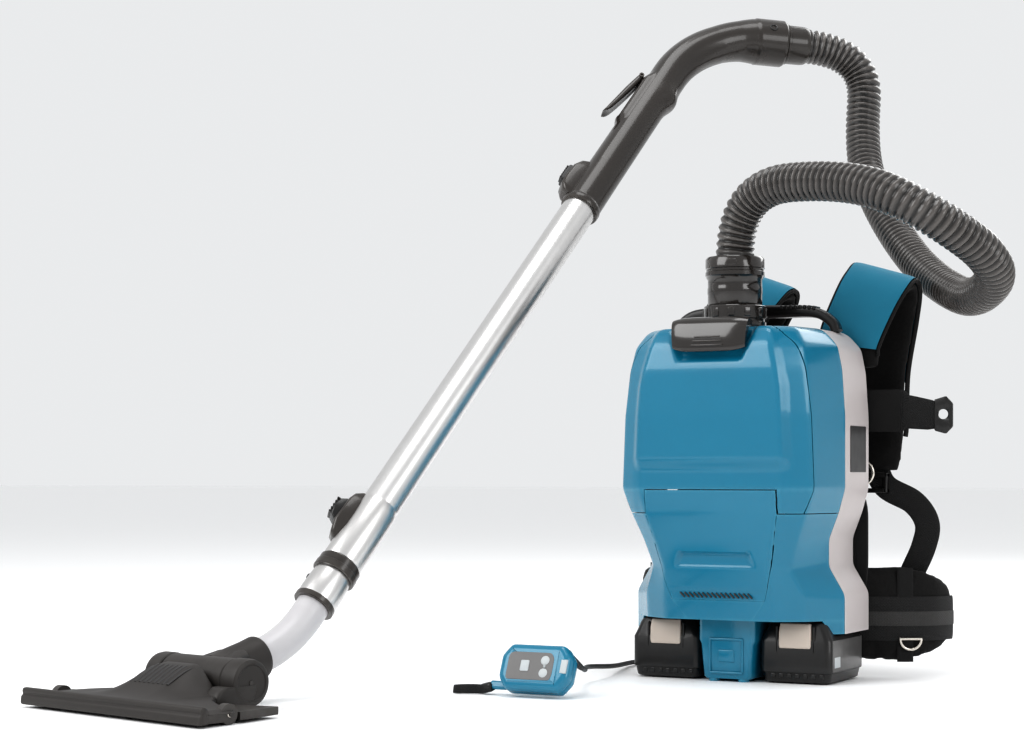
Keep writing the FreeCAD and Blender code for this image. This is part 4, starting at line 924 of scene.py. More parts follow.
def buildLeg():
    # the leg narrows from its top to its feet; its front carries a sunk plate edged by two ribs
    place = frameOf((0, 20, 0), (1, 0, 0), (0, 0, 1))
    leg = loftPatch(place, (3, 5, 22, 38, 42, 66), (24.6, 26, 27.4, 29, 31, 31), (48, 49, 50, 50, 50, 50),
                    5.0,
                    dy=(0, 0, 0, 0, 0, 0), k=5)
    ribs = [blockPatch(-18.5, 18.5, -31.6, -28.5, 42, 45, 1.2),
            blockPatch(-19, -16.6, -31.4, -28.5, 10, 44, 0.9),
            blockPatch(16.6, 19, -31.4, -28.5, 10, 44, 0.9), blockPatch(-18, 18, -31.2, -28.5, 8, 10.5, 0.9),
            blockPatch(-9, 9, -31.0, -28.5, 20, 33, 1.4)]
    feet = [turnedPatch([(0.01, 0.0), (5.4, 0.0), (6, 0.6), (6, 4), (0.01, 4)],
                        frameOf((x, y, 0), (1, 0, 0), (0, 0, 1)), 28) for x in (-16, 16) for y in (-22, 60)]
    makePiece("legShell", [leg] + ribs + feet, "pack", tealShell, "centre_leg", sharp=36)


buildLeg()


def outlinePatch(place, outline, levels, insets, count=96, lift=None):
    # a closed outline softened by neighbour averaging, stacked along the frame's z, each level drawn in by its inset
    outline = np.asarray(outline, float)
    closed = np.vstack([outline, outline[:1]])
    run = np.concatenate([[0], np.cumsum(np.linalg.norm(np.diff(closed, axis=0), axis=1))])
    at = np.linspace(0, run[-1], count, endpoint=False)
    ring = np.stack([np.interp(at, run, closed[:, k]) for k in (0, 1)], 1)
    for _ in range(2):
        ring = (np.roll(ring, 1, 0) + 2 * ring + np.roll(ring, -1, 0)) / 4
    step = unit(np.roll(ring, -1, 0) - np.roll(ring, 1, 0))
    out = np.stack([step[:, 1], -step[:, 0]], 1)
    if ((ring - ring.mean(0)) * out).sum() < 0:
        out = -out
    levels, insets = np.asarray(levels, float), np.asarray(insets, float)
    xy = ring[None] - out[None] * insets[:, None, None]
    z = np.repeat(levels[:, None], count, 1)
    if lift is not None:
        z = z + lift(xy[..., 0], xy[..., 1], z)
    return gridPatch(toWorld(place, np.concatenate([xy, z[..., None]], 2)), wrapV=True, capStart=True,
                     capEnd=True)


def puffUp(piece, voxel=0.005, pressure=4.0, cap=0.006, frames=20):
    # blown up as cloth with no weight, each point held within the cap, then smoothed once
    scene = bpy.context.scene
    mod = piece.modifiers.new("skin", "REMESH")
    mod.mode, mod.voxel_size = "VOXEL", voxel
    deps = bpy.context.evaluated_depsgraph_get()
    mesh = bpy.data.meshes.new_from_object(piece.evaluated_get(deps))
    piece.modifiers.clear()
    old = piece.data
    piece.data = mesh
    mesh.materials.clear()
    mesh.materials.append(old.materials[0])
    count = len(mesh.vertices)
    start = np.empty(count * 3)
    mesh.vertices.foreach_get("co", start)
    cloth = piece.modifiers.new("cloth", "CLOTH")
    cloth.settings.use_pressure = True
    cloth.settings.uniform_pressure_force = pressure
    cloth.settings.effector_weights.gravity = 0.0
    cloth.settings.quality = 5
    cloth.point_cache.frame_start, cloth.point_cache.frame_end = 1, frames
    for f in range(1, frames + 1):
        scene.frame_set(f)
    deps = bpy.context.evaluated_depsgraph_get()
    blown = piece.evaluated_get(deps).data
    end = np.empty(count * 3)
    blown.vertices.foreach_get("co", end)
    piece.modifiers.clear()
    move = (end - start).reshape(-1, 3)
    far = np.linalg.norm(move, axis=1, keepdims=True)
    move *= np.minimum(1.0, cap / np.maximum(far, 1e-9))
    mesh.vertices.foreach_set("co", (start.reshape(-1, 3) + move).ravel())
    mesh.update()
    scene.frame_set(1)
    sub = piece.modifiers.new("soft", "SUBSURF")
    sub.levels = sub.render_levels = 1
    mesh.polygons.foreach_set("use_smooth", np.ones(len(mesh.polygons), bool))


# ---- carry handle ----
def buildCarry():
    # an arch across the top: a rounded section carried along a soft line, with a ribbed link on its right arm
    line = smoothLine([(-90, 53, 359), (-85, 53, 369), (-66, 53, 380.5), (-20, 53, 382), (30, 53, 382),
                       (66, 53, 380),
                       (84, 53, 370), (90, 53, 359)], 60)
    x, y = roundRect(np.full(60, 8.0), np.interp(np.arange(60), (0, 12, 30, 44, 59),
                                                 (5.5, 6.4, 7.0, 5.2, 5.0)), 4.0, 6)
    patches = [sweepPatch(line, x, y, (0, 0.02, 1))]
    for k in range(8):
        x0 = 30 + k * 5.0
        z0 = np.interp(x0, line[30:, 0], line[30:, 2])
        patches.append(blockPatch(x0, x0 + 3.2, 43.6, 62.4, z0 + 2.0, z0 + 6.4, 1.1))
    makePiece("carryArch", patches, "pack", blackPlastic, "carry_handle", sharp=50)


buildCarry()

# ---- harness ----
strapLook = {"width": 72.0, "thick": 11.0}
rightLine = [(90, 92.5, 322), (91, 93, 352), (106, 99, 392), (115, 108, 412), (117, 124, 420),
             (116, 138, 409),
             (110, 146, 380), (101, 146, 322), (102, 139, 262), (103, 129, 216)]
leftLine = [(-56, 92.5, 334), (-54, 93, 354), (-34, 98, 390), (-20, 108, 411), (-16, 122, 416),
            (-21, 135, 408),
            (-36, 142, 382), (-54, 142, 322), (-56, 135, 262), (-56, 127, 220)]


def buildStrap(word, line, side, lean):
    centre = smoothLine(line, 90)
    share = np.linspace(0, 1, 90)
    width = strapLook["width"] * (0.92 + 0.08 * np.sin(np.pi * share)) * np.interp(share, (0, 0.03, 0.9, 1), (0.9, 1, 1, 0.86))
    tilt = unit(np.stack([np.ones(90), np.zeros(90), -lean * smoothStep(338, 366, centre[:, 2])], 1))
    quilt = 1.0 + 0.10 * np.sin(share * np.pi * 9) ** 2
    pad = makePiece("strapPad" + word, bandPatch(centre, tilt, width, strapLook["thick"] * quilt, crown=0.6,
                                                 count=20),
                    "pack", blackMesh, "shoulder_strap_" + word.lower(), sharp=70)
    puffUp(pad, voxel=0.004, pressure=3.0, cap=0.0013)
    # teal face cloth on the outer side, black binding tape along both edges
    tangent = unit(np.gradient(centre, axis=0))
    wide = unit(tilt - tangent * (tilt * tangent).sum(1, keepdims=True))
    out = np.cross(tangent, wide)
    keep = slice(8, 72)
    face = centre - out * (strapLook["thick"] / 2 + 2.6)
    makePiece("strapFace" + word, bandPatch(face[keep], wide[keep], width[keep] - 5.0, 2.0, crown=-1.6,
                                            count=20), "pack",
              tealCloth, sharp=60)
    for k in (-1, 1):
        edge = centre + wide * (width / 2 - 1.2)[:, None] * k - out * (strapLook["thick"] / 2 - 0.4)
        x, y = roundRect(np.full(78, 2.6), np.full(78, 1.7), 1.5, 4)
        makePiece("strapBinding%s%d" % (word, (k + 3) // 2), sweepPatch(edge[4:82], x, y), "pack", blackCloth)
    # webbing down to the belt, with a curl where it turns edge on
    low = line[-1]
    web = smoothLine([(low[0], low[1] + 1, low[2] + 14), (low[0] + side * 12, low[1] + 3, 200),
                      (low[0] + side * 42, low[1] + 8, 182), (low[0] + side * 56, low[1] + 10, 160),
                      (low[0] + side * 53, low[1] + 8, 136), (low[0] + side * 42, low[1] + 3, 108)], 40)
    makePiece("strapWebbing" + word, bandPatch(web, (1, 0.2 * side, 0), 26.0, 2.2, count=16), "pack", webbing,
              sharp=60)
    x0 = low[0]
    makePiece("ladderLock" + word, [blockPatch(x0 - 17, x0 + 17, low[1] - 4.5, low[1] + 5.5, 208, 214, 1.6),
                                    blockPatch(x0 - 17, x0 - 12.6, low[1] - 4.5, low[1] + 5.5, 192, 214, 1.6),
                                    blockPatch(x0 + 12.6, x0 + 17, low[1] - 4.5, low[1] + 5.5, 192, 214, 1.6),
                                    blockPatch(x0 - 17, x0 + 17, low[1] - 3.5, low[1] + 6.5, 192, 197, 1.6)],
              "pack", blackPlastic)


buildStrap("Right", rightLine, 1, 0.30)
buildStrap("Left", leftLine, -1, 0.36)

beltLook = {"low": 14.0, "high": 118.0, "thick": 15.0, "webLow": 38.0, "webHigh": 84.0}


def buildBelt(side, word):
    # a wing: quilted pad bent round the waist, a webbing band with a grey stripe sewn along it
    plan = [(20, 94.8), (60, 94.6), (90, 95.2), (130, 106.5), (158, 125), (168, 142), (172, 162)]
    reach = 1.0 if side > 0 else 0.955
    line = smoothLine([(side * x * reach, y, 66.0) for x, y in plan], 80)
    share = np.linspace(0, 1, 80)
    tall = (beltLook["high"] - beltLook["low"]) * np.interp(share, (0, 0.08, 0.55, 0.86, 0.97, 1),
                                                            (0.9, 1, 1.0, 0.72, 0.52, 0.36))
    quilt = beltLook["thick"] * (0.80 + 0.22 * np.abs(np.sin(share * np.pi * 7)) ** 0.6)
    quilt *= np.interp(share, (0, 0.04, 0.94, 1), (0.75, 1, 1, 0.55))
    pad = makePiece("beltPad" + word, bandPatch(line, (0, 0, 1), tall, quilt, crown=0.5, count=26), "pack",
                    blackMesh,
                    "hip_belt_" + word.lower(), sharp=70)
    puffUp(pad, voxel=0.005, pressure=4.0, cap=0.0030)
    tangent = unit(np.gradient(line, axis=0))
    out = np.cross(tangent, (0, 0, 1.0)) * side
    mid = (beltLook["webLow"] + beltLook["webHigh"]) / 2 - 66.0
    for label, high, thick, lift, finish in (("beltWebbing", 46.0, 2.2, 10.6, webbing),
                                             ("beltStripe", 15.0, 1.0, 12.0, greyWebbing)):
        face = line + out * lift + (0, 0, mid)
        makePiece(label + word, bandPatch(face[18:76], (0, 0, 1), high, thick, count=16), "pack", finish,
                  sharp=60)
    for k, at in enumerate((27, 44)):      # tapes running up over the pad
        up = smoothLine([line[at] + out[at] * 9.4 + (0, 0, -50), line[at] + out[at] * 10.2,
                         line[at] + out[at] * 9.2 + (0, 0, 48)], 24)
        makePiece("beltTape%s%d" % (word, k + 1), bandPatch(up, tangent[at], 17.0, 1.8, count=12), "pack",
                  blackCloth,
                  sharp=60)


buildBelt(1, "Right")
buildBelt(-1, "Left")


def buildBackPad():
    # the pad against the back: a thick slab with three stitched channels
    z = np.linspace(152, 328, 60)
    groove = sum(np.exp(-((z - c) / 3.5) ** 2) for c in (196.0, 240.0, 284.0))
    half = 48.0 - 4.0 * smoothStep(310, 328, z) - 4.0 * smoothStep(170, 152, z)
    pad = makePiece("backPad", loftPatch(frameOf((0, 94.2, 0), (1, 0, 0), (0, 0, 1)), z, half,
                                         6.6 - 2.6 * groove, 5.5,
                                         k=8, edge=4.0), "pack", blackMesh, "back_pad",
                    sharp=70)
    puffUp(pad, voxel=0.005, pressure=3.0, cap=0.0020)
    # quilted cover of the back plate, seen as a dark edge beside the pale frame
    plate = [(-96, 20), (-106, 74), (-111, 110), (-111, 180), (-101, 204), (-98, 300), (-84, 346), (84, 346),
             (98, 300),
             (101, 204), (111, 180), (111, 110), (106, 74), (96, 20)]
    place = frameOf((0, 86.6, 0), (1, 0, 0), (0, -1, 0))
    place = np.column_stack([np.array([1.0, 0, 0]), np.array([0, 0, 1.0]), np.array([0, 1.0, 0]),
                             np.array([0, 86.2, 0])])
    side = outlinePatch(place, plate, (0.0, 1.0, 3.4, 4.6), (0.8, 0.0, 0.0, 1.4), 140)
    makePiece("plateCover", side, "pack", blackCloth, sharp=60)


buildBackPad()


def buildChest():
    # elastic strap out of the plate, a folded end, and a plate buckle with a round eye
    line = smoothLine([(90, 88.4, 278), (104, 89.2, 278), (128, 92.0, 278), (148, 95.0, 277.0),
                       (166, 98.4, 274.5), (182, 101.6, 272)], 50)
    share = np.linspace(0, 1, 50)
    width = np.interp(share, (0, 0.6, 0.63, 0.9, 1), (44, 44, 35, 31, 26))
    makePiece("chestStrap", bandPatch(line, (0, 0, 1), width, 2.6, count=18), "pack", webbing, "chest_strap",
                     sharp=60)
    wrap = smoothLine([(96, 91.4, 278), (118, 93.6, 278), (146, 96.8, 278)], 30)
    makePiece("chestFold", bandPatch(wrap - (0, 4.6, 0), (0, 0, 1), 44.0, 2.2, count=18), "pack", blackCloth)
    buckleFrame = np.column_stack([unit((1, 0.12, 0)), np.array([0, 0, 1.0]), unit((0.12, -1, 0)),
                                   np.array([178, 103.5, -5.0])])
    a = np.linspace(0, 2 * np.pi, 72, endpoint=False)
    outline = np.array([(0, 262), (12.0, 258.6), (19, 266), (19, 290), (12.0, 297.6), (0, 294)], float)
    closed = np.vstack([outline, outline[:1]])
    ang = np.arctan2(closed[:, 1] - 278.0, closed[:, 0] - 9.0)
    dist = []
    for t in a:             # distance from the eye to the outline along each direction
        d = np.array([math.cos(t), math.sin(t)])
        e = closed[1:] - closed[:-1]
        q = closed[:-1] - np.array([9.0, 279.0])
        den = d[0] * e[:, 1] - d[1] * e[:, 0]
        s = (q[:, 0] * e[:, 1] - q[:, 1] * e[:, 0]) / np.where(np.abs(den) < 1e-9, 1e9, den)
        w = (q[:, 0] * d[1] - q[:, 1] * d[0]) / np.where(np.abs(den) < 1e-9, 1e9, den)
        dist.append(s[(w >= -1e-6) & (w <= 1 + 1e-6) & (s > 0)].max())
    dist = np.array(dist)
    rings = []
    for f, z in ((0, 0.8), (0, 3.6), (0.18, 4.6), (0.9, 4.6), (1, 3.8), (1, 1.0), (0.92, 0.0), (0.12, 0.0)):
        r = 5.2 + (dist - 5.2) * f
        rings.append(np.stack([9.0 + r * np.cos(a), 279.0 + r * np.sin(a), np.full(72, z)], 1))
    makePiece("chestBuckle", gridPatch(toWorld(buckleFrame, np.array(rings)), wrapU=True, wrapV=True), "pack",
              blackPlastic,
              "chest_buckle", sharp=35)


buildChest()
print("harness done")


# ---- remote ----
remoteLook = {"length": 74.0, "height": 46.0, "split": 12.0}


def buildRemote():
    # a bevelled outline stacked from face to back; the face is domed by drawing in its first levels
    o = remoteFrame
    place = np.column_stack([o[:, 0], o[:, 2], -o[:, 1] * -1.0, o[:, 3]])
    hl, h = remoteLook["length"] / 2, remoteLook["height"]
    outline = [(-hl, 12), (-hl + 9, 0), (hl - 9, 0), (hl, 12), (hl, h - 12), (hl - 9, h), (-hl + 9, h),
               (-hl, h - 12)]
    split = remoteLook["split"]
    front = outlinePatch(place, outline, (0.0, 0.6, 2.0, 4.5, 9.0, split - 0.25),
                         (7.0, 4.2, 1.6, 0.4, 0.0, 0.3), 110)
    rear = outlinePatch(place, outline, (split + 0.25, 14.0, 18.5, 20.6, 21.6, 22.0),
                        (0.3, 0.0, 0.4, 1.6, 3.2, 5.0), 110)
    makePiece("remoteFace", front, "pack", tealShell, "remote_front", sharp=45)
    lug = [blockPatch(-hl - 13, -hl + 6, 3.0, 11.5, 13.0, 18.5, 2.2, place=place)]
    makePiece("remoteBack", [rear] + lug, "pack", tealShell, "remote_rear", sharp=45)
    panel = outlinePatch(place, [(-27, 9), (19, 9), (21, 14), (21, 32), (17, 37), (-25, 37), (-28, 33),
                                 (-28, 12)],
                         (-0.35, 0.4, 1.2), (0.5, 0.0, 0.0), 90)
    makePiece("remotePanel", panel, "pack", greyLabel)
    keys = [outlinePatch(place, [(x - w, 23 - hh), (x + w, 23 - hh), (x + w, 23 + hh), (x - w, 23 + hh)],
                         (-1.1, -0.9, 0.6), (0.7, 0.2, 0.0), 40) for x, w,
            hh in ((-9.0, 4.6, 5.6), (12.0, 1.4, 1.4))]
    makePiece("remotePads", keys, "pack", remoteKeys)
    lamp = blockPatch(hl - 9.0, hl - 2.0, 17.0, 31.0, -0.2, 1.6, 1.0, place=place)
    makePiece("remoteLamp", lamp, "pack", remoteKeys)
    for word, bz in (("power", 29.0), ("mode", 16.5)):
        key = turnedPatch([(0.01, -0.9), (3.6, -0.8), (4.6, -0.3), (5.0, 0.6), (5.0, 4.0), (0.01, 4.0)],
                          np.column_stack([place[:, 0], place[:, 1], place[:, 2],
                                           toWorld(place, np.array([[11.5, bz, 0.0]]))[0]]), 36)
        makePiece("remoteKey" + word.capitalize(), key, "remote_key_" + word, remoteKeys,
                  "remote_button_" + word)
    # hanging loop: a soft sleeve and a doubled flat strap lying on the floor
    low = toWorld(place, np.array([[-hl - 10.0, 6.0, 15.5]]))[0]
    loop = smoothLine([low + (1, 0, 0), low + (-12, 6, -3.5), low + (-26, 5, -5.5), low + (-36, -2, -6.2),
                       low + (-38, -9, -6.2), low + (-28, -7, -5.5), low + (-13, -1, -4.0),
                       low + (0, -3, -1)], 60)
    loop[:, 2] = np.maximum(loop[:, 2], 4.8)
    makePiece("remoteLoop", bandPatch(loop, (0.1, 0.1, 1), 8.0, 1.8, count=12), "pack", webbing,
              "remote_strap",
              sharp=60)
    sleeve = smoothLine([low + (-1, 1, 0), low + (-8, 3, -1.6), low + (-14, 4, -3.2)], 20)
    r = np.interp(np.arange(20), (0, 3, 17, 19), (3.6, 4.2, 4.0, 3.2))
    x, y = roundRect(r * 1.2, r, r * 0.9, 5)
    makePiece("remoteSleeve", sweepPatch(sleeve, x, y), "pack", blackPlastic, sharp=60)
    # tapered reliefs where the cable leaves the remote and the pack
    for word, a, b in (("Remote", (-74, -236.5, 36.2), (-74, -214.0, 26.0)),
                       ("Pack", (-51, 86.2, 9.6), (-51, 101.0, 9.6))):
        line = smoothLine([a, (np.array(a) + b) / 2, b], 30)
        t = np.linspace(0, 1, 30)
        r = (4.4 - 1.7 * t) * (1 - 0.10 * (np.sin(t * np.pi * 9) > 0.3) * (t > 0.15))
        x, y = roundRect(r, r, r, 7)
        makePiece("cableRelief" + word, sweepPatch(line, x, y), "pack", cableSheath,
                  "cable_gland" if word == "Pack" else (), sharp=60)


buildRemote()
print("remote done")

# ---- wand handle ----
handleLook = {"straight": 233.0, "bendRadius": 131.5, "bend": 60.0}


def handlePath(gone):
    # centre line of the handle in the wand frame: straight, then an arc, then straight again, with its inward direction
    r, start = handleLook["bendRadius"], handleLook["straight"]
    full = math.radians(handleLook["bend"])
    turn = np.clip((gone - start) / r, 0, full)
    past = np.maximum(gone - start - full * r, 0)
    x = r * (1 - np.cos(turn)) + past * np.sin(turn)
    z = np.minimum(gone, start) + r * np.sin(turn) + past * np.cos(turn)
    centre = np.stack([x, np.zeros_like(x), z], 1)
    inward = np.stack([np.cos(turn), np.zeros_like(x), -np.sin(turn)], 1)
    return centre, inward


def ringsOnHandle(gone, radius, angle):
    centre, inward = handlePath(gone)
    y = np.array([0.0, 1.0, 0.0])
    return centre[:, None] + radius[..., None] * (np.cos(angle)[...,
                                                                None] * inward[:, None] + np.sin(angle)[..., None] * y)


def buildHandle():
    # radius along the handle and round it: rim, grip, finger bulge below, flare into the collar, two seam lines
    gone = np.concatenate([np.linspace(0, 372, 184), np.linspace(373, 400.3, 30)])
    angle = np.linspace(0, 2 * np.pi, 72, endpoint=False)
    g, a = np.meshgrid(gone, angle, indexing="ij")
    base = np.interp(gone, (0, 1.2, 7, 8.5, 60, 190, 250, 317, 346, 360, 363.7, 365.2, 398.2, 400.2),
                     (21.6, 22.2, 22.2, 21.0, 20.5, 20.0, 20.6, 21.4, 23.6, 25.6, 26.2, 26.9, 26.9,
                      25.6))[:, None]
    under = np.exp(-((g - 196) / 12) ** 2) * np.maximum(np.cos(a), 0) ** 1.5 * 5.0
    under += smoothStep(190, 215, g) * (1 - smoothStep(307, 349, g)) * np.maximum(np.cos(a), 0) ** 3 * 1.4
    seam = sum(np.exp(-(((a - c + np.pi) % (2 * np.pi) - np.pi) / 0.035) ** 2) for c in (1.95, 2 * np.pi - 1.95))
    seam = seam * smoothStep(64, 70, g) * (1 - smoothStep(343, 361, g)) * 0.7
    groove = np.exp(-((g - 363.2) / 0.8) ** 2) * 0.7 + np.exp(-((g - 8.6) / 0.8) ** 2) * 0.5
    back = np.maximum(-np.cos(a), 0)
    scoop = smoothStep(138, 144, g) * (1 - smoothStep(194, 200, g)) * smoothStep(0.86, 0.94, back) * 5.0
    cheek = smoothStep(128, 142, g) * (1 - smoothStep(202, 220, g)) * smoothStep(0.55, 0.8, back) * 4.2
    radius = base + under + cheek - scoop * 1.6 - seam - groove
    outer = ringsOnHandle(gone, radius, a)
    inner = ringsOnHandle(gone[::-1], np.full_like(radius, 17.2), a)
    patches = [gridPatch(toWorld(wandFrame, np.concatenate([outer, inner])), wrapU=True, wrapV=True)]
    z = np.array([7, 9, 16, 30, 46, 56, 60])
    outX = np.array([-22.5, -27, -32.4, -33, -32, -27.5, -22.0])
    patches.append(loftPatch(wandFrame, z, (-12 - outX) / 2, (11, 12, 12.6, 12.6, 12, 10.5, 9), 4.5,
                             dx=(outX - 12) / 2, k=6))
    makePiece("handleShell", patches, "handle", handlePlastic, "handle_shell", sharp=40)
    dark = [blockPatch(-24.6, -21.5, -6.4, 6.4, 50.5, 55.0, 0.8, place=wandFrame)]
    gone2 = np.linspace(142, 196, 30)
    a2 = np.linspace(np.pi - 0.40, np.pi + 0.40, 12)
    g2, aa = np.meshgrid(gone2, a2, indexing="ij")
    skin = ringsOnHandle(gone2, np.full_like(g2, 17.6), aa)
    low = ringsOnHandle(gone2, np.full_like(g2, 17.0), aa)
    dark.append(wallPatch(toWorld(wandFrame, skin), toWorld(wandFrame, low)))
    makePiece("handleOpenings", dark, "handle", labelFilm)
    end, _ = handlePath(np.array([381.2]))
    endDir = np.array([math.sin(math.radians(handleLook["bend"])), 0,
                       math.cos(math.radians(handleLook["bend"]))])
    button = frameOf(toWorld(wandFrame, end + (0, -25.4, 0))[0], wandFrame[:, :3] @ endDir,
                     wandFrame[:, :3] @ np.array([0, -1.0, 0]))
    ringHole = turnedPatch([(2.6, -0.4), (4.3, -0.4), (4.3, 2.1), (3.7, 2.5), (2.9, 2.1), (2.6, 1.2)], button,
                           30)
    makePiece("collarEye", ringHole, "handle", labelFilm)
    # air flap: a curved leaf on its pin, curled out at the tip
    leaf = smoothLine([(-24.4, 0, 210), (-26.0, 0, 203), (-29.6, 0, 182), (-33.2, 0, 160), (-36.4, 0, 144),
                       (-39.6, 0, 137)], 50)
    share = np.linspace(0, 1, 50)
    width = np.interp(share, (0, 0.15, 0.6, 0.9, 1), (18, 19, 18, 16, 12))
    strip = bandPatch(leaf, (0, 1, 0), width, np.interp(share, (0, 0.12, 0.4, 0.75, 1),
                                                        (4, 7.5, 8.5, 6, 1.4)), crown=-1.2, count=18)
    strip = (toWorld(wandFrame, strip[0]), strip[1], strip[2])
    knuckle = turnedPatch([(1.3, -11), (2.9, -11), (2.9, 11), (1.3, 11)],
                          frameOf(toWorld(wandFrame, np.array([[-25.4, 0, 206.5]]))[0], wandFrame[:, 0],
                                  wandFrame[:, 1]), 24)
    makePiece("flapLeaf", [strip, knuckle], "flap", handlePlastic, "suction_flap", sharp=45)
    tab = [loftPatch(wandFrame, (22, 26, 42, 46), (4.6, 5.2, 5.0, 4.2), 6.8, 1.6,
                     dx=(-31.4, -31.9, -31.8, -31.2), edge=1.0)]
    tab += [blockPatch(-38.2, -36.2, -5.6, 5.6, 25.0 + k * 3.4, 26.6 + k * 3.4, 0.6,
                       place=wandFrame) for k in range(6)]
    makePiece("tubeKey", tab, "tube_key", blackPlastic, "tube_lock_button", sharp=40)
    # ferrule of the hose
    end2 = toWorld(wandFrame, handlePath(np.array([370.7 + 34.0 - 4.0 - 18.0]))[0])[0]
    axis = wandFrame[:, :3] @ endDir
    length = (np.array([-44.5, 327.8, 716.8]) - end2) @ axis - 0.3
    ferrule = turnedPatch([(17.0, 0.4), (22.4, 0.4), (22.4, 18.6), (23.2, 19.2), (23.2, 21.4), (22.4, 22.0),
                           (22.2, length - 6),
                           (21.6, length - 2), (20.4, length), (17.0, length)],
                          frameOf(end2, np.cross(axis, (0, 0, 1)), axis), 64)
    makePiece("hoseFerrule", ferrule, "hose_line", handlePlastic, "hose_ferrule", sharp=40)


buildHandle()

tubeLook = {"length": 447.0, "sleeve": 20.4}


def buildTube():
    w = wandFrame
    low, n = tubeLook["length"], tubeLook["sleeve"]
    sleeve = turnedPatch([(19.1, -low + 4), (19.5, -low + 2), (n, -low - 4), (n, -low - 68),
                          (n - 0.6, -low - 71), (16.7, -low - 71),
                          (16.7, -low - 2), (19.0, -low)], w, 64)
    makePiece("tubeSleeve", sleeve, "handle", tubeMetal, "tube_lock_housing", sharp=30)
    z = np.array([-500, -496, -484, -470, -456, -447, -441], float)
    outX = np.array([-22, -26, -29.5, -29, -28.5, -26.5, -21.5])
    body = loftPatch(w, z, (-12 - outX) / 2, (7.5, 10.5, 13.4, 13.8, 13.0, 10, 6.5), 4.0, dx=(outX - 12) / 2,
                     k=6)
    makePiece("lockBody", body, "handle", handlePlastic, sharp=40)
    z = np.array([-482, -478, -469, -460, -456], float)
    outX = np.array([-31, -36, -37.6, -36, -31])
    knob = [loftPatch(w, z, (-25 - outX) / 2, (7.5, 8.8, 9, 8.8, 7.5), 2.2, dx=(outX - 25) / 2, k=5)]
    knob += [blockPatch(-39.0, -35.6, -7.6, 7.6, -477.5 + k * 4.2, -475.6 + k * 4.2, 0.7,
                        place=w) for k in range(5)]
    makePiece("lockSlider", knob, "slider", blackPlastic, "telescope_slider", sharp=40)
    ring = turnedPatch([(16.7, -534), (21.6, -534), (22.2, -533.2), (22.2, -527.4), (21.6, -526.6),
                        (21.6, -520), (20.8, -519.2), (16.7, -519.2)], w, 64)
    makePiece("tubeEndRing", ring, "extension", handlePlastic, "tube_end_ring", sharp=30)
    stub = turnedPatch([(16.6, -566), (20.0, -566), (20.4, -560), (20.2, -548), (19.4, -538), (19.0, -534.2),
                        (16.6, -534.2)], w, 64)
    eye = turnedPatch([(0.01, -0.6), (3.0, -0.6), (3.0, 0.3), (2.2, 0.9), (0.01, 1.0)],
                      frameOf(toWorld(w, np.array([[-20.2, 0, -547.0]]))[0], w[:, 1], -w[:, 0]), 26)
    makePiece("endStub", stub, "extension", tubeMetal, "end_stub", sharp=30)
    makePiece("stubPin", eye, "extension", labelFilm)
    ring = turnedPatch([(16.6, -572), (20.2, -572), (20.9, -571.4), (20.9, -566.8), (20.2, -566.1),
                        (16.6, -566.1)], w, 64)
    makePiece("pipeLockRing", ring, "extension", handlePlastic, "pipe_lock_ring", sharp=30)


buildTube()
print("wand done")

# ---- floor head ----
headLook = {"half": 127.0, "pivot": 26.0}


def deckHeight(x, y):
    # low wings, a hump that climbs towards the barrel, flanks eased into the wings
    climb = smoothStep(-104, -26, y)
    mid = 1 - smoothStep(26, 62, np.abs(x) - (y + 104) * -0.10)
    wing = 3.4 * (1 - smoothStep(70, 122, np.abs(x))) + 1.6
    shoulder = smoothStep(-112, -100, y)
    return 12.0 + wing * shoulder + (25.5 * climb ** 1.25) * mid


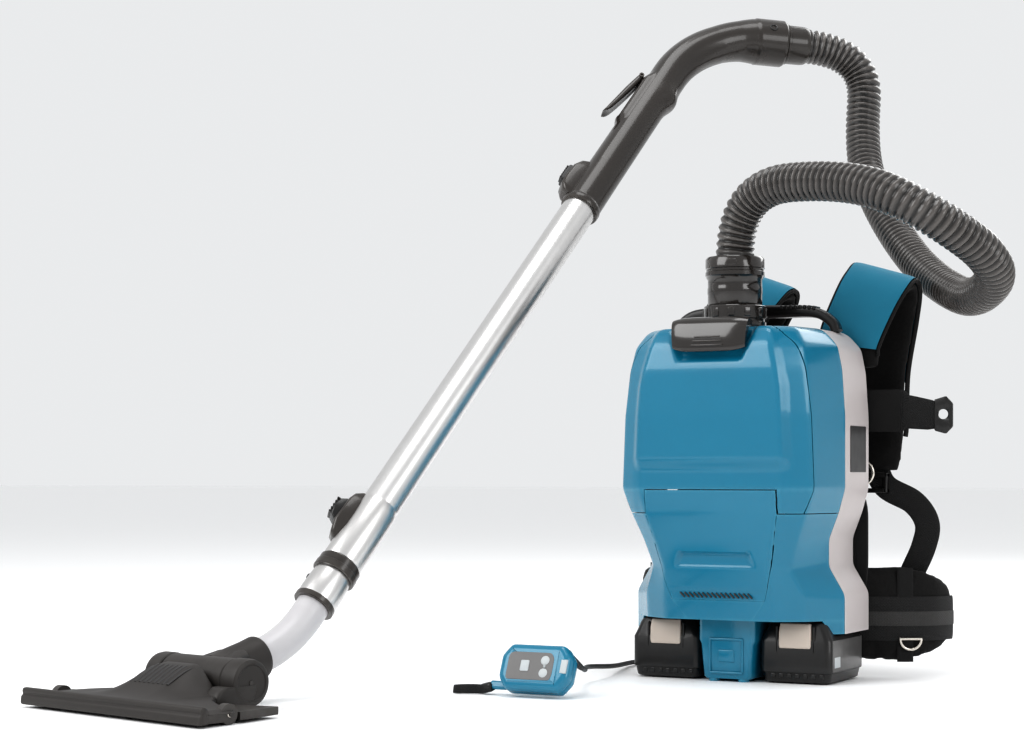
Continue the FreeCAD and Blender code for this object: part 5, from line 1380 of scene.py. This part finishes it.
def buildHead():
    h = headFrame
    across2, deep = 120, 70
    u = np.linspace(-1, 1, across2)
    v = np.linspace(0, 1, deep)
    x = np.repeat((u * 122)[:, None], deep, 1)
    rear = np.interp(np.abs(x), (0, 40, 58, 80, 100, 112, 122), (-25, -25, -36, -58, -66, -62, -70))
    front = np.interp(np.abs(x), (0, 116, 122), (-103.5, -103.5, -98))
    y = front + v[None] * (rear - front)
    edge = np.minimum(np.minimum(v[None] * (rear - front), (1 - v[None]) * (rear - front) * 2),
                      (122 - np.abs(x)))
    z = deckHeight(x, y) - 3.2 * (1 - np.clip(edge / 5.0, 0, 1)) ** 2
    top = np.stack([x, y, z], 2)
    low = np.stack([x, y, np.full_like(x, 9.6)], 2)
    patches = [wallPatch(toWorld(h, top), toWorld(h, low))]
    for side in (-1, 1):    # barrel ends: turned caps with dished faces, on cheeks that reach the sole
        axis = frameOf(toWorld(h, np.array([[0, 0, headLook["pivot"]]]))[0], backward, h[:, 0] * side)
        patches.append(turnedPatch([(0.01, 40), (6, 40), (6, 44.2), (20.4, 44.2), (21.6, 45.4), (21.7, 58),
                                    (20.8, 62.4),
                                    (18.6, 64), (16.6, 64), (15.6, 63.0), (8.0, 62.6), (2.6, 62.4),
                                    (2.2, 63.0), (0.01, 63.2)], axis, 64))
        cheek = frameOf(toWorld(h, np.array([[side * 54.0, 0, 0]]))[0], h[:, 0], (0, 0, 1))
        patches.append(loftPatch(cheek, (0.6, 3, 12, 20, 24), (7.5, 8.5, 9.6, 9.6, 9.4), (14, 20, 24, 23, 20),
                                 5.0,
                                 dy=(-16, -18, -18, -15, -12)))
    makePiece("headDeck", patches, "head", headPlastic, "head_deck", sharp=38)
    slots = []
    for k in range(9):
        xs = -26.0 + k * 6.4
        ys = np.linspace(-66, -37, 20)
        line = np.stack([np.full(20, xs) - 0.10 * (ys + 50), ys, deckHeight(np.full(20, xs), ys) + 0.05], 1)
        slots.append(bandPatch(toWorld(h, line), h[:, 0], 3.0, 0.9, count=8))
    makePiece("headSlots", slots, "head", labelFilm)
    profile = np.array([(-112.0, 3.2), (-111.0, 2.6), (-103.0, 2.6), (-102.4, 4.0), (-102.4, 15.4),
                        (-104.0, 17.4), (-107.2, 18.4),
                        (-109.6, 17.4), (-110.4, 14.6), (-109.4, 12.2), (-111.6, 10.4), (-112.2, 6.0)])
    lipPlace = np.column_stack([h[:, 1], h[:, 2], h[:, 0], h[:, 3]])
    half = headLook["half"]
    levels = np.array([-half, -half + 0.8, -half + 3, half - 3, half - 0.8, half])
    makePiece("frontLip", outlinePatch(lipPlace, profile, levels, (1.4, 0.4, 0, 0, 0.4, 1.4), 70), "head",
              headPlastic,
              "front_lip", sharp=40)
    # neck: barrel between the caps and a turned socket that flares round the white pipe
    pivot = toWorld(h, np.array([[0, 0, headLook["pivot"]]]))[0]
    barrel = turnedPatch([(6.2, -43.4), (20.0, -43.4), (20.9, -42.4), (20.9, 42.4), (20.0, 43.4),
                          (6.2, 43.4)],
                         frameOf(pivot, backward, h[:, 0]), 64)
    neckFrame = frameOf(neckPivot, np.cross(neckLine, (0, 0, 1)), neckLine)
    neck = turnedPatch([(14.2, 10), (19.0, 10), (19.3, 30), (19.6, 50), (20.3, 60), (20.5, 63), (19.9, 64.6),
                        (16.6, 64.6),
                        (16.5, 48), (14.2, 47)], neckFrame, 64)
    web = loftPatch(neckFrame, (8, 20, 32, 40), (30, 26, 20.5, 18.0), (15, 16, 17, 16), 9.0, k=6)
    makePiece("neckSocket", [barrel, neck, web], "neck", headPlastic, "neck_barrel", sharp=38)
    hubs = []
    for side in (-1, 1):
        axle = frameOf(toWorld(h, np.array([[side * 116.0, -74, 9]]))[0], h[:, 1], h[:, 0] * side)
        hubs.append(turnedPatch([(0.01, 3.9), (2.6, 3.9), (2.6, 4.8), (1.8, 5.4), (0.01, 5.6)], axle, 24))
    makePiece("rollerHubs", hubs, "head", ringMetal)


buildHead()

# ---- dust bag inside the cover ----
def buildBag():
    # a paper bag lofted from its collar plate, sides sagging in with two soft gussets
    z = np.linspace(206, 332, 46)
    t = (z - 206) / 126
    sag = 1 + 0.03 * np.sin(t * 9.0) - 0.05 * (1 - t) ** 2
    place = frameOf((0, 0.5, 0), (1, 0, 0), (0, 0, 1))
    bag = loftPatch(place, z, 66 * sag, 44 * (1 - 0.06 * np.sin(t * np.pi)), 14.0, k=8, edge=9.0)
    collar = loftPatch(place, (331.6, 333.2), 36, 34, 6, k=6, edge=0.4)
    makePiece("dustBag", [bag, collar], "pack", bagPaper, "dust_bag", sharp=60)


buildBag()
print("all pieces done")
